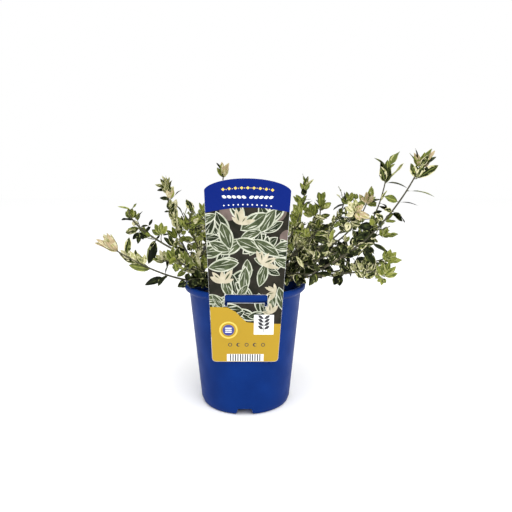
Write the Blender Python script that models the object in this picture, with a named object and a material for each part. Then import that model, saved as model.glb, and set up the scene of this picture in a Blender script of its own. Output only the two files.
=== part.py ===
"""Harlequin wintercreeper, a young variegated evergreen shrub in a blue nursery pot with a picture card.

Metres, +Z up. The origin is the centre of the pot's flat underside, and the front, with the card, faces -Y.
One short stem rises from the compost and forks into three leaders. Thin limbs fan out of them, and each
limb ends in a mass of opposite leaves on a stem of its own. The leaves of a mass follow one seeded rule.
"""

import math
import random
from dataclasses import dataclass

import bmesh
import bpy
from mathutils import Matrix, Vector
from mathutils.bvhtree import BVHTree

# Driving sizes of the pot
POT_HEIGHT = 0.1505
RIM_RADIUS = 0.0750
RIM_INNER_RADIUS = 0.0705
RIM_DEPTH = 0.0100
WALL_TOP_RADIUS = 0.0693
WALL_FOOT_RADIUS = 0.0563
FOOT_RADIUS = 0.0520
HEEL_HEIGHT = 0.0055
WALL_THICKNESS = 0.0012
BASE_THICKNESS = 0.0016
GROOVE_DEPTH = 0.0083
GROOVE_INNER_RADIUS = 0.0370
GROOVE_OUTER_RADIUS = 0.0455
GROOVE_SLANT = 0.0012
NOTCH_COUNT = 4
NOTCH_ROOF_WIDTH = 0.0156
NOTCH_FLOOR_WIDTH = 0.0216
DRAIN_COUNT = 8
DRAIN_RADIUS = 0.0028
POT_SIDES = 40

# Two solids that touch keep this gap between their meshes
GAP = 0.0003

# Driving sizes of the compost, and of the stem that stands in it and forks
COMPOST_TOP = 0.1330
COMPOST_CROWN = 0.0030
COMPOST_FLAT_RADIUS = 0.0300
STEM_FOOT_RADIUS = 0.0095
STEM_RADIUS = 0.0062
STEM_FLARE_HEIGHT = 0.0035
FORK_HEIGHT = 0.0075
LEADER_ROOT_RADIUS = 0.0044
LEADER_TIP_RADIUS = 0.0026
LEADER_SIDES = 8

# Driving sizes of the picture card, which leans out and is hooked over the rim through a window
CARD_TOP = 0.1295
CARD_SHOULDER = 0.1165
CARD_FOOT = 0.0810
CARD_HEAD_HALF_WIDTH = 0.0460
CARD_FOOT_HALF_WIDTH = 0.0380
CARD_THICKNESS = 0.0006
CARD_LEAN = math.radians(6.4)
CARD_ROLL = math.radians(0.9)
CARD_YAW = math.radians(2.0)
CARD_RIM_PLANE = 0.0716
CARD_CORNER_RADIUS = 0.0045
WINDOW_HALF_WIDTH = 0.0238
WINDOW_TOP = 0.0008
WINDOW_FLOOR = 0.0090
WINDOW_SLIT_WIDTH = 0.0030
WINDOW_SLIT_DEPTH = 0.0040

# Driving sizes of limbs, twigs and leaves
LIMB_SIDES = 5
LIMB_STEPS = 5
LIMB_ROOT_RADIUS = 0.0014
LIMB_TIP_RADIUS = 0.0010
MASS_STEM_SIDES = 3
MASS_STEM_STEP = 0.022
MASS_TIP_RADIUS = 0.0007
TWIG_SIDES = 3
TWIG_RADIUS = 0.0009
LEAF_LENGTH = 0.0245
LEAF_WIDTH_SHARE = 0.44
LEAF_THICKNESS = 0.0010
LEAF_DROOP = 0.07
LEAF_BROADEST = 0.46
NODE_SPACING = 0.0225
TIP_LEAF_REACH = 0.0170
TWIG_SPREAD = math.radians(48)
LEAF_CLEARANCE = 0.0005
SMALLEST_SHARE = 0.62


@dataclass(frozen=True)
class Shoot:
    """One shoot, from its stem to its furthest tip.

    azimuth is in degrees, 0 towards +X and 90 to the back. reach is the tip's distance from the pot's
    axis, and top its height. belly, lead and swing move the shoot's middle up, outwards and to its left.
    bare is the share of its length with no leaves: a limb of its own, or none where it is 0. leader names
    the leader that it grows from, at the share place of its length. twigs is its number of side twigs,
    and size scales its leaves.
    """

    name: str
    leader: str
    place: float
    azimuth: float
    reach: float
    top: float
    belly: float
    lead: float
    swing: float
    bare: float
    twigs: int
    size: float


LEADER_TIPS = {
    "left": Vector((-0.0260, 0.0010, 0.1760)),
    "right": Vector((0.0260, -0.0040, 0.1780)),
    "back": Vector((0.0030, 0.0240, 0.1770)),
}

SHOOTS = (
    Shoot("far_left", "left", 0.57, 194, 0.171, 0.208, -0.020, -0.004, -0.001, 0.36, 3, 1.00),
    Shoot("left_mid", "left", 0.72, 193, 0.135, 0.248, 0.009, 0.039, -0.006, 0.22, 3, 1.00),
    Shoot("left_tall", "left", 0.65, 165, 0.109, 0.278, -0.042, 0.006, 0.000, 0.30, 2, 0.92),
    Shoot("left_inner_tall", "left", 0.85, 185, 0.067, 0.255, -0.013, 0.014, -0.006, 0.0, 3, 0.95),
    Shoot("left_behind_card", "left", 0.92, 150, 0.065, 0.246, 0.001, 0.002, 0.002, 0.0, 3, 0.95),
    Shoot("left_low_front", "left", 0.65, 218, 0.104, 0.202, -0.005, 0.013, -0.005, 0.0, 3, 1.00),
    Shoot("left_cream", "left", 0.49, 170, 0.117, 0.185, -0.005, 0.009, 0.003, 0.30, 3, 0.95),
    Shoot("left_rim", "left", 0.45, 215, 0.091, 0.162, 0.004, 0.004, 0.000, 0.0, 2, 1.00),
    Shoot("card_top", "back", 0.84, 146, 0.030, 0.296, -0.000, 0.014, 0.004, 0.40, 1, 0.85),
    Shoot("right_near_card", "right", 0.92, 6, 0.075, 0.283, -0.005, 0.012, -0.004, 0.26, 3, 0.88),
    Shoot("right_second", "right", 0.84, 25, 0.108, 0.261, -0.025, 0.019, -0.007, 0.26, 3, 0.90),
    Shoot("right_cream", "right", 0.69, -17, 0.136, 0.251, -0.003, 0.022, 0.010, 0.26, 4, 1.00),
    Shoot("right_back_rosette", "back", 0.60, 31, 0.161, 0.262, -0.010, 0.033, -0.006, 0.36, 2, 0.90),
    Shoot("right_mid_rosette", "back", 0.69, 14, 0.168, 0.266, -0.020, 0.032, -0.002, 0.36, 2, 0.95),
    Shoot("right_tall_left", "right", 0.61, 5, 0.178, 0.298, -0.036, 0.033, -0.002, 0.44, 1, 1.05),
    Shoot("right_tall_right", "right", 0.36, -14, 0.208, 0.306, -0.028, 0.023, 0.002, 0.46, 1, 1.10),
    Shoot("right_mid", "back", 0.33, 18, 0.213, 0.211, -0.002, 0.005, 0.006, 0.36, 2, 0.95),
    Shoot("right_low_mid", "right", 0.42, 6, 0.196, 0.182, -0.004, 0.013, 0.005, 0.36, 2, 1.00),
    Shoot("right_lowest", "right", 0.50, -8, 0.177, 0.169, 0.002, 0.017, 0.006, 0.44, 2, 0.95),
    Shoot("right_inner_front", "right", 0.78, -32, 0.103, 0.230, 0.001, 0.012, 0.004, 0.0, 4, 1.00),
    Shoot("right_low_front", "right", 0.58, -33, 0.136, 0.202, 0.002, 0.004, 0.002, 0.26, 3, 1.05),
    Shoot("right_rim", "right", 0.43, -36, 0.098, 0.166, 0.009, 0.007, 0.004, 0.0, 3, 1.00),
    Shoot("right_inner_low", "back", 0.43, 15, 0.130, 0.194, 0.001, -0.001, 0.000, 0.0, 3, 1.00),
    Shoot("back_left", "left", 0.57, 123, 0.148, 0.214, 0.003, -0.003, 0.000, 0.28, 2, 1.00),
    Shoot("back_centre_left", "back", 0.73, 105, 0.145, 0.243, -0.005, 0.004, -0.003, 0.30, 2, 0.95),
    Shoot("back_centre", "back", 0.54, 87, 0.160, 0.240, -0.008, 0.005, 0.000, 0.34, 2, 1.00),
    Shoot("back_centre_right", "back", 0.79, 71, 0.137, 0.244, -0.004, 0.005, 0.002, 0.0, 2, 0.95),
    Shoot("back_right", "back", 0.49, 51, 0.169, 0.217, 0.001, -0.001, 0.001, 0.32, 2, 1.00),
    Shoot("back_low_left", "left", 0.36, 113, 0.163, 0.162, 0.010, 0.001, 0.002, 0.34, 2, 1.00),
    Shoot("back_low_right", "back", 0.29, 66, 0.175, 0.164, 0.010, -0.001, 0.002, 0.34, 2, 1.00),
    Shoot("centre_tall", "back", 0.96, -67, 0.013, 0.258, 0.002, 0.000, 0.002, 0.0, 2, 0.95),
    Shoot("front_left", "left", 0.75, 250, 0.050, 0.214, 0.002, 0.002, 0.000, 0.0, 3, 0.95),
    Shoot("front_right", "right", 0.66, -80, 0.050, 0.226, 0.002, 0.000, 0.000, 0.0, 3, 0.95),
)


def clear_scene():
    """Removes whatever the file opened with."""
    for thing in list(bpy.data.objects):
        bpy.data.objects.remove(thing, do_unlink=True)


def make_material(name, colour, roughness, metallic=0.0):
    """A Principled BSDF material of one colour."""
    material = bpy.data.materials.new(name)
    material.use_nodes = True
    shader = material.node_tree.nodes["Principled BSDF"]
    shader.inputs["Base Color"].default_value = (*colour, 1.0)
    shader.inputs["Roughness"].default_value = roughness
    shader.inputs["Metallic"].default_value = metallic
    return material


def add_object(name, vertices, faces, material=None):
    """Links a new mesh object to the scene."""
    mesh = bpy.data.meshes.new(name)
    mesh.from_pydata([tuple(v) for v in vertices], [], faces)
    mesh.update()
    thing = bpy.data.objects.new(name, mesh)
    bpy.context.scene.collection.objects.link(thing)
    if material:
        mesh.materials.append(material)
    return thing


def apply_modifiers(thing):
    """Applies every modifier of an object, as the viewport shows it."""
    graph = bpy.context.evaluated_depsgraph_get()
    made = bpy.data.meshes.new_from_object(thing.evaluated_get(graph))
    thing.modifiers.clear()
    thing.data = made


def cut(thing, cutter):
    """Takes the cutter's shape out of an object and removes the cutter."""
    cutter.hide_render = True
    cutter.display_type = "WIRE"
    modifier = thing.modifiers.new("Cut", "BOOLEAN")
    modifier.operation = "DIFFERENCE"
    modifier.solver = "EXACT"
    modifier.object = cutter
    apply_modifiers(thing)
    bpy.data.objects.remove(cutter, do_unlink=True)


def shade_round(thing, angle=math.radians(40)):
    """Shades a turned piece smooth, with its creases kept."""
    thing.data.shade_smooth()
    thing.data.set_sharp_from_angle(angle=angle)


def turned(name, profile, material):
    """Turns a closed (radius, height) outline about Z. Points on the axis become one point each.

    The outline runs anticlockwise in the plane of radius and height, so that the faces point outwards.
    """
    vertices, rings, faces = [], [], []
    for radius, height in profile:
        if radius == 0.0:
            rings.append([len(vertices)] * POT_SIDES)
            vertices.append((0.0, 0.0, height))
            continue
        first = len(vertices)
        rings.append(list(range(first, first + POT_SIDES)))
        for side in range(POT_SIDES):
            turn = math.tau * side / POT_SIDES
            vertices.append((radius * math.cos(turn), radius * math.sin(turn), height))
    for lower, upper in zip(rings, rings[1:] + rings[:1]):
        for side in range(POT_SIDES):
            after = (side + 1) % POT_SIDES
            corners = []
            for corner in (lower[side], lower[after], upper[after], upper[side]):
                if corner not in corners:
                    corners.append(corner)
            if len(corners) > 2:
                faces.append(corners)
    return add_object(name, vertices, faces, material)


def wall_radius(height):
    """The pot wall's outer radius at a height."""
    share = (height - HEEL_HEIGHT) / (POT_HEIGHT - RIM_DEPTH - HEEL_HEIGHT)
    return WALL_FOOT_RADIUS + share * (WALL_TOP_RADIUS - WALL_FOOT_RADIUS)


def inner_profile(offset):
    """The pot's inside, from the axis up to the rim's shoulder, pushed inwards by offset."""
    roof = GROOVE_DEPTH + BASE_THICKNESS + offset
    floor = BASE_THICKNESS + offset
    heel = HEEL_HEIGHT + BASE_THICKNESS + 0.0016
    shoulder = POT_HEIGHT - 0.0030
    inset = WALL_THICKNESS + offset
    return [
        (0.0, floor),
        (GROOVE_INNER_RADIUS - 0.0024 - offset, floor),
        (GROOVE_INNER_RADIUS - 0.0008 - offset, roof),
        (wall_radius(heel) - inset - 0.0020, roof),
        (wall_radius(heel) - inset, heel + 0.0012 + offset),
        (wall_radius(shoulder) - inset, shoulder),
    ]


def build_pot(material):
    """The pot: a tapered wall, a flared rim, and a raised groove with drain holes round its foot."""
    top = POT_HEIGHT
    outside = [
        (0.0, 0.0),
        (GROOVE_INNER_RADIUS, 0.0),
        (GROOVE_INNER_RADIUS + GROOVE_SLANT, GROOVE_DEPTH),
        (GROOVE_OUTER_RADIUS, GROOVE_DEPTH),
        (GROOVE_OUTER_RADIUS + GROOVE_SLANT, 0.0),
        (FOOT_RADIUS, 0.0),
        (FOOT_RADIUS + 0.0026, 0.0012),
        (WALL_FOOT_RADIUS, HEEL_HEIGHT),
        (WALL_TOP_RADIUS, top - RIM_DEPTH),
        (RIM_RADIUS - 0.0017, top - 0.0068),
        (RIM_RADIUS - 0.0001, top - 0.0050),
        (RIM_RADIUS, top - 0.0013),
        (RIM_RADIUS - 0.0006, top - 0.0003),
        (RIM_RADIUS - 0.0015, top),
        (RIM_INNER_RADIUS + 0.0003, top),
        (RIM_INNER_RADIUS - 0.0007, top - 0.0008),
    ]
    pot = turned("pot", outside + inner_profile(0.0)[::-1][:-1] + [(0.0, BASE_THICKNESS)], material)
    for place in range(NOTCH_COUNT):
        cut(pot, notch_cutter(math.tau * place / NOTCH_COUNT))
    for place in range(DRAIN_COUNT):
        cut(pot, drain_cutter(math.tau * (place + 0.5) / DRAIN_COUNT))
    shade_round(pot)
    return pot


def notch_cutter(turn):
    """The trapezoid that opens the foot ring to the groove, at a turn about the axis."""
    near, far = GROOVE_OUTER_RADIUS - 0.0030, WALL_FOOT_RADIUS + 0.0100
    floor, roof = NOTCH_FLOOR_WIDTH / 2, NOTCH_ROOF_WIDTH / 2
    slope = (floor - roof) / GROOVE_DEPTH
    under = 0.0020
    low = floor + slope * under
    section = [(-low, -under), (low, -under), (roof, GROOVE_DEPTH), (-roof, GROOVE_DEPTH)]
    vertices = [(near, y, z) for y, z in section] + [(far, y, z) for y, z in section]
    faces = [(3, 2, 1, 0), (4, 5, 6, 7), (0, 1, 5, 4), (1, 2, 6, 5), (2, 3, 7, 6), (3, 0, 4, 7)]
    cutter = add_object("notch_cutter", vertices, faces)
    cutter.data.transform(Matrix.Rotation(turn, 4, "Z"))
    return cutter


def drain_cutter(turn):
    """The round cutter of one drain hole in the groove's roof."""
    middle = (GROOVE_INNER_RADIUS + GROOVE_SLANT + GROOVE_OUTER_RADIUS) / 2
    mesh = bmesh.new()
    bmesh.ops.create_cone(
        mesh, cap_ends=True, segments=8, radius1=DRAIN_RADIUS, radius2=DRAIN_RADIUS, depth=0.0080
    )
    data = bpy.data.meshes.new("drain_cutter")
    mesh.to_mesh(data)
    mesh.free()
    data.transform(Matrix.Rotation(turn, 4, "Z") @ Matrix.Translation((middle, 0.0, GROOVE_DEPTH)))
    cutter = bpy.data.objects.new("drain_cutter", data)
    bpy.context.scene.collection.objects.link(cutter)
    return cutter


def build_compost(material):
    """The compost that fills the pot, a gap clear of its inside, with a low crown."""
    edge_height = COMPOST_TOP - COMPOST_CROWN
    inside = [point for point in inner_profile(GAP) if point[1] < edge_height]
    edge = (wall_radius(edge_height) - WALL_THICKNESS - GAP, edge_height)
    slope = (0.5 * (edge[0] + COMPOST_FLAT_RADIUS), COMPOST_TOP - 0.3 * COMPOST_CROWN)
    top = [edge, slope, (COMPOST_FLAT_RADIUS, COMPOST_TOP), (0.0, COMPOST_TOP)]
    compost = turned("compost", inside + top, material)
    shade_round(compost)
    return compost


def card_matrix():
    """Places the card's own plane, x across and y up from the rim, leaning out over the pot's front."""
    drop = 0.0035
    rim_point = Vector((0.0, -CARD_RIM_PLANE - drop * math.tan(CARD_LEAN), POT_HEIGHT))
    upright = Matrix.Rotation(math.radians(90) + CARD_LEAN, 4, "X")
    level = Matrix.Translation(rim_point) @ upright @ Matrix.Rotation(-CARD_ROLL, 4, "Z")
    return Matrix.Rotation(CARD_YAW, 4, "Z") @ level


def arc(centre, radius, start, end, steps):
    """Points on an arc, from start to end in degrees."""
    turns = [math.radians(start + (end - start) * step / steps) for step in range(steps + 1)]
    return [(centre[0] + radius * math.cos(t), centre[1] + radius * math.sin(t)) for t in turns]


def card_outline():
    """The card's outer edge, anticlockwise from its lower left corner."""
    foot, head, corner = CARD_FOOT_HALF_WIDTH, CARD_HEAD_HALF_WIDTH, CARD_CORNER_RADIUS
    lower_right = arc((foot - corner, -CARD_FOOT + corner), corner, -90, 0, 3)
    rise = CARD_TOP - CARD_SHOULDER
    shoulders = []
    for step in range(13):
        across = math.cos(math.pi * step / 12)
        height = CARD_SHOULDER + rise * (1 - abs(across) ** 2.1) ** 0.60
        shoulders.append((head * across, height))
    lower_left = arc((-foot + corner, -CARD_FOOT + corner), corner, 180, 270, 3)
    return lower_right + shoulders + lower_left


def window_outline():
    """The window that the rim shows through, with a slit at each side of the tongue under it."""
    half, slit = WINDOW_HALF_WIDTH, WINDOW_SLIT_WIDTH
    floor, deep = -WINDOW_FLOOR, -WINDOW_FLOOR - WINDOW_SLIT_DEPTH
    right = [(half - slit, floor), (half - slit, deep), (half - 0.0008, deep), (half, deep + 0.0010)]
    upper = [(half, WINDOW_TOP - 0.0015), (half - 0.0015, WINDOW_TOP)]
    outline = right + upper
    return outline + [(-x, y) for x, y in reversed(outline)]


def extruded(name, outline, low, high, material=None):
    """A flat outline, anticlockwise, drawn out between two heights."""
    count = len(outline)
    vertices = [(x, y, low) for x, y in outline] + [(x, y, high) for x, y in outline]
    faces = [tuple(reversed(range(count))), tuple(range(count, 2 * count))]
    for place in range(count):
        after = (place + 1) % count
        faces.append((place, after, after + count, place + count))
    return add_object(name, vertices, faces, material)


def build_card(material):
    """The picture card: a plastic plate with an arched head, whose window lets the rim through."""
    card = extruded("picture_card", card_outline(), 0.0, CARD_THICKNESS, material)
    cut(card, extruded("window_cutter", window_outline(), -0.0050, 0.0050))
    card.data.transform(card_matrix())
    return card


def across_frame(direction):
    """Two directions across a third, the first as level as it can be."""
    level = direction.cross(Vector((0, 0, 1)))
    if level.length < 1e-4:
        level = Vector((1, 0, 0))
    level.normalize()
    return level, level.cross(direction).normalized()


def tube(points, radii, sides):
    """The closed mesh of a tapering round limb along a line of points: (vertices, faces)."""
    vertices, faces = [], []
    level = None
    for place, (point, radius) in enumerate(zip(points, radii)):
        before, after = points[max(place - 1, 0)], points[min(place + 1, len(points) - 1)]
        direction = (after - before).normalized()
        if level is None:
            level = across_frame(direction)[0]
        level = (level - direction * level.dot(direction)).normalized()
        upright = level.cross(direction)
        for side in range(sides):
            turn = math.tau * side / sides
            vertices.append(point + radius * (math.cos(turn) * level + math.sin(turn) * upright))
    for ring in range(len(points) - 1):
        for side in range(sides):
            a, b = ring * sides + side, ring * sides + (side + 1) % sides
            faces.append((a, a + sides, b + sides, b))
    faces.append(tuple(range(sides)))
    last = (len(points) - 1) * sides
    faces.append(tuple(reversed(range(last, last + sides))))
    return vertices, faces


def leaf_blade(root, direction, face_up, length, spare=0.0):
    """A leaf of 6 faces, raised along its midrib, with its root point on the middle of its twig.

    spare thickens and widens the blade, for testing the room round it.
    """
    along = direction.normalized()
    side = face_up.cross(along).normalized()
    up = along.cross(side)
    half = length * LEAF_WIDTH_SHARE / 2 + spare
    droop = length * LEAF_DROOP
    middle = root + along * length * LEAF_BROADEST - up * droop * LEAF_BROADEST
    under = up * spare
    vertices = [
        root - under,
        middle + side * half - under,
        middle - side * half - under,
        middle + up * (LEAF_THICKNESS + spare),
        root + along * (length + spare) - up * droop - under,
    ]
    return vertices, [(0, 3, 1), (1, 3, 4), (4, 3, 2), (2, 3, 0), (0, 1, 2), (1, 4, 2)]


def bezier(start, control, end, share):
    """A point of a quadratic curve."""
    rest = 1 - share
    return start * rest * rest + control * (2 * rest * share) + end * (share * share)


class ShootLine:
    """The curve that a shoot follows, from the side of its stem to its tip."""

    def __init__(self, shoot):
        self.shoot = shoot
        axis = leader_point(shoot.leader, shoot.place)
        grain = (leader_point(shoot.leader, shoot.place + 0.02) - axis).normalized()
        turn = math.radians(shoot.azimuth)
        out = Vector((math.cos(turn), math.sin(turn), 0))
        left = Vector((-out.y, out.x, 0))
        self.end = Vector((*(shoot.reach * out.xy), shoot.top))
        middle = (axis + self.end) / 2 + out * shoot.lead + left * shoot.swing
        middle.z += shoot.belly
        self.control = 2 * middle - (axis + self.end) / 2
        away = (self.control - axis).normalized()
        across = away - grain * away.dot(grain)
        flat = across.length
        across.normalize()
        steep = math.sqrt(max(0.0, 1 - flat * flat))
        clear = leader_radius(shoot.place) + LIMB_ROOT_RADIUS * steep + GAP
        self.start = axis + across * clear
        self.last = 1.0
        rough = [self.at_share(step / 60) for step in range(61)]
        whole = sum((b - a).length for a, b in zip(rough, rough[1:]))
        self.last = 1 - TIP_LEAF_REACH * shoot.size / whole
        self.length = whole * self.last

    def at_share(self, share):
        """The point at a share of the shoot's stem, which stops short of the end for the tip's leaves."""
        return bezier(self.start, self.control, self.end, share * self.last)

    def direction(self, share):
        """The curve's direction at a share of the shoot's stem."""
        step = 0.01
        return (self.at_share(min(share + step, 1.0)) - self.at_share(max(share - step, 0.0))).normalized()


def leader_point(name, share):
    """The middle of a leader, from the fork at 0 to its tip at 1. It bends upwards on its way out."""
    tip = LEADER_TIPS[name]
    fork = Vector((0, 0, COMPOST_TOP + FORK_HEIGHT * 0.5))
    bend = Vector((0.75 * tip.x, 0.75 * tip.y, fork.z + 0.30 * (tip.z - fork.z)))
    return bezier(fork, bend, tip, share)


def leader_radius(share):
    """A leader's radius at a share of its way."""
    return LEADER_ROOT_RADIUS + (LEADER_TIP_RADIUS - LEADER_ROOT_RADIUS) * share


def build_stem(material):
    """The short stem, flared at its foot, and the three leaders that it forks into."""
    low = COMPOST_TOP + GAP
    foot_points = [Vector((0, 0, low)), Vector((0, 0, low + STEM_FLARE_HEIGHT * 0.4))]
    foot_points += [Vector((0, 0, low + STEM_FLARE_HEIGHT)), Vector((0, 0, low + FORK_HEIGHT))]
    foot_radii = [STEM_FOOT_RADIUS, STEM_FOOT_RADIUS * 0.80, STEM_RADIUS, STEM_RADIUS * 0.86]
    stem = add_object("stem", *tube(foot_points, foot_radii, LEADER_SIDES), material)
    shares = [0.0, 0.2, 0.4, 0.6, 0.8, 0.985, 1.0]
    for name in LEADER_TIPS:
        points = [leader_point(name, share) for share in shares]
        radii = [leader_radius(share) for share in shares]
        radii[-1] *= 0.55
        leader = add_object("leader", *tube(points, radii, LEADER_SIDES))
        modifier = stem.modifiers.new("Join", "BOOLEAN")
        modifier.operation = "UNION"
        modifier.solver = "EXACT"
        modifier.object = leader
        apply_modifiers(stem)
        bpy.data.objects.remove(leader, do_unlink=True)
    shade_round(stem)
    return stem


def limb_radius(line, share):
    """A shoot's thickness at a share of its length: a limb, then the thinner stem of its mass."""
    bare = line.shoot.bare
    if share <= bare:
        return LIMB_ROOT_RADIUS + (LIMB_TIP_RADIUS - LIMB_ROOT_RADIUS) * share / max(bare, 0.01)
    return LIMB_TIP_RADIUS + (MASS_TIP_RADIUS - LIMB_TIP_RADIUS) * (share - bare) / (1 - bare)


def build_limb(line, material):
    """The bare limb of a shoot, smooth and tapering, up to where its mass of leaves begins."""
    shares = [line.shoot.bare * step / LIMB_STEPS for step in range(LIMB_STEPS + 1)]
    radii = [limb_radius(line, share) for share in shares]
    vertices, faces = tube([line.at_share(share) for share in shares], radii, LIMB_SIDES)
    limb = add_object(f"limb_{line.shoot.name}", vertices, faces, material)
    shade_round(limb, math.radians(70))
    return limb


def mass_start(line):
    """The share of a shoot at which its mass begins, a gap past the limb's tip."""
    return line.shoot.bare + (GAP + 0.0001) / line.length if line.shoot.bare else 0.0


def stem_of_mass(line):
    """The stem that a mass of leaves grows on: (vertices, faces)."""
    first = mass_start(line)
    steps = max(3, round((1 - first) * line.length / MASS_STEM_STEP))
    shares = [first + (1 - first) * step / steps for step in range(steps + 1)]
    radii = [limb_radius(line, share) for share in shares]
    return tube([line.at_share(share) for share in shares], radii, MASS_STEM_SIDES)


class Room:
    """The space that the pieces have taken so far, asked before a twig or a leaf is added."""

    def __init__(self):
        self.taken = []
        self.spines = {}

    def add(self, owner, vertices, faces):
        """Notes a solid as taken by its owner."""
        tree = BVHTree.FromPolygons(vertices, faces)
        middle = sum(vertices, Vector()) / len(vertices)
        radius = max((v - middle).length for v in vertices)
        self.taken.append((owner, middle, radius, tree))

    def touches(self, owner, vertices, faces):
        """True if a shape would touch a solid of another owner."""
        middle = sum(vertices, Vector()) / len(vertices)
        radius = max((v - middle).length for v in vertices)
        tree = None
        for other, centre, reach, solid in self.taken:
            if other == owner or (centre - middle).length > reach + radius:
                continue
            tree = tree or BVHTree.FromPolygons(vertices, faces)
            if tree.overlap(solid):
                return True
        return False

    def own_side(self, owner, point, slack=0.004):
        """True if a point lies nearer its own mass's spine than any other, within a slack."""
        mine = min((point - p).length for p in self.spines[owner])
        for other, spine in self.spines.items():
            if other != owner and min((point - p).length for p in spine) < mine - slack:
                return False
        return True


def in_pot(vertices):
    """True if a shape dips into the compost or below the rim's top inside the pot."""
    return any(v.xy.length < RIM_INNER_RADIUS and v.z < COMPOST_TOP + 0.0015 for v in vertices)


class Mass:
    """A mass of leaves: one stem, side twigs, and opposite pairs of leaves on both."""

    def __init__(self, line, room):
        self.line = line
        self.name = f"leaves_{line.shoot.name}"
        self.room = room
        self.draw = random.Random(f"wintercreeper {line.shoot.name}")
        self.pieces = []
        self.leaf_count = 0

    def fits(self, middle, vertices, faces):
        """True if a shape stays in this mass's own space and touches nothing else."""
        own = self.room.own_side(self.name, middle)
        return own and not in_pot(vertices) and not self.room.touches(self.name, vertices, faces)

    def keep(self, vertices, faces):
        """Takes a shape into this mass."""
        self.pieces.append((vertices, faces))
        self.room.add(self.name, vertices, faces)

    def try_leaf(self, root, direction, face_up, length):
        """Adds a leaf where it fits, shorter where a full one doesn't."""
        for share in (1.0, 0.8, SMALLEST_SHARE):
            size = length * share
            wide = leaf_blade(root, direction, face_up, size, LEAF_CLEARANCE)
            if self.fits(root + direction * size * 0.6, *wide):
                self.keep(*leaf_blade(root, direction, face_up, size))
                self.leaf_count += 1
                return True
        return False

    def leaf_pair(self, point, axis, turn, open_angle, length):
        """Two opposite leaves at a node. Their upper faces look along the stem."""
        level, upright = across_frame(axis)
        for half_turn in (0.0, math.pi):
            spin = turn + half_turn + self.draw.uniform(-0.35, 0.35)
            side = math.cos(spin) * level + math.sin(spin) * upright
            angle = open_angle + self.draw.uniform(-0.18, 0.18)
            direction = math.cos(angle) * axis + math.sin(angle) * side
            face_up = math.sin(angle) * axis - math.cos(angle) * side
            size = length * self.draw.uniform(0.85, 1.12)
            self.try_leaf(point - direction * 0.0002, direction, face_up, size)

    def rosette(self, point, axis, turn, length):
        """The upright leaves round a growing tip."""
        self.leaf_pair(point, axis, turn, 0.62, length * 0.92)
        self.leaf_pair(point, axis, turn + math.pi / 2, 0.30, length * 0.80)

    def twig(self, point, axis, spin, length):
        """A side twig with one pair of leaves and a rosette, or nothing where it doesn't fit."""
        level, upright = across_frame(axis)
        side = math.cos(spin) * level + math.sin(spin) * upright
        out = (math.cos(TWIG_SPREAD) * axis + math.sin(TWIG_SPREAD) * side).normalized()
        lift = Vector((0, 0, 0.22 * length))
        points = [point, point + out * length * 0.5 + lift * 0.3, point + out * length * 0.95 + lift]
        radii = [TWIG_RADIUS, TWIG_RADIUS * 0.9, TWIG_RADIUS * 0.7]
        vertices, faces = tube(points, radii, TWIG_SIDES)
        wide = tube(points, [radius + LEAF_CLEARANCE for radius in radii], TWIG_SIDES)
        if not self.fits(points[1], *wide):
            return
        self.keep(vertices, faces)
        turn = self.draw.uniform(0, math.pi)
        end_axis = (points[2] - points[1]).normalized()
        size = LEAF_LENGTH * self.line.shoot.size
        if length > 0.028:
            self.leaf_pair(points[1], end_axis, turn, 0.95, size * 0.85)
        self.leaf_pair(points[2] - end_axis * 0.0010, end_axis, turn + math.pi / 2, 0.50, size * 0.85)

    def grow(self):
        """Adds the leaves and twigs, from the tip back to the foot, so that the tips are always full."""
        line = self.line
        size = LEAF_LENGTH * line.shoot.size
        first = mass_start(line)
        length = line.length * (1 - first)
        count = max(2, round(length / NODE_SPACING))
        turn = self.draw.uniform(0, math.pi)
        tip_axis = line.direction(1.0)
        self.rosette(line.at_share(1.0) - tip_axis * 0.0012, tip_axis, turn, size)
        twig_nodes = self.draw.sample(range(count), min(line.shoot.twigs, count))
        for node in reversed(range(count)):
            share = first + (1 - first) * (node + 0.55) / (count + 0.25)
            point, axis = line.at_share(share), line.direction(share)
            turn += math.pi / 2
            open_angle = 0.80 + 0.45 * (1 - node / count)
            self.leaf_pair(point, axis, turn, open_angle, size)
            if node in twig_nodes:
                reach = self.draw.uniform(0.60, 1.0) * min(0.040, 0.26 * length + 0.010)
                self.twig(point, axis, turn + math.pi / 2 + self.draw.uniform(-0.5, 0.5), reach)

    def build(self, material):
        """Joins the stem, twigs and leaves into one closed body."""
        mass = add_object(self.name, *self.pieces[0], material)
        group = bpy.data.collections.new("parts_of_mass")
        bpy.context.scene.collection.children.link(group)
        for vertices, faces in self.pieces[1:]:
            part = add_object("part_of_mass", vertices, faces)
            bpy.context.scene.collection.objects.unlink(part)
            group.objects.link(part)
        modifier = mass.modifiers.new("Join", "BOOLEAN")
        modifier.operation = "UNION"
        modifier.operand_type = "COLLECTION"
        modifier.collection = group
        modifier.solver = "MANIFOLD"
        apply_modifiers(mass)
        for part in list(group.objects):
            bpy.data.objects.remove(part, do_unlink=True)
        bpy.data.collections.remove(group)
        keep_outer_body(mass.data)
        return mass


def keep_outer_body(mesh):
    """Drops sealed hollows and loose scraps, which leaves the one body with the most faces."""
    shape = bmesh.new()
    shape.from_mesh(mesh)
    shape.faces.ensure_lookup_table()
    unseen, bodies = set(shape.faces), []
    while unseen:
        body, edge_of_body = set(), [unseen.pop()]
        while edge_of_body:
            face = edge_of_body.pop()
            body.add(face)
            near = {other for edge in face.edges for other in edge.link_faces}
            found = near & unseen
            unseen -= found
            edge_of_body += found
        bodies.append(body)
    largest = max(bodies, key=len)
    spare = [face for body in bodies if body is not largest for face in body]
    bmesh.ops.delete(shape, geom=spare, context="FACES")
    shape.to_mesh(mesh)
    shape.free()


def solid_parts(thing):
    """An object's mesh as plain vertices and faces."""
    mesh = thing.data
    return [v.co.copy() for v in mesh.vertices], [tuple(face.vertices) for face in mesh.polygons]


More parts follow.
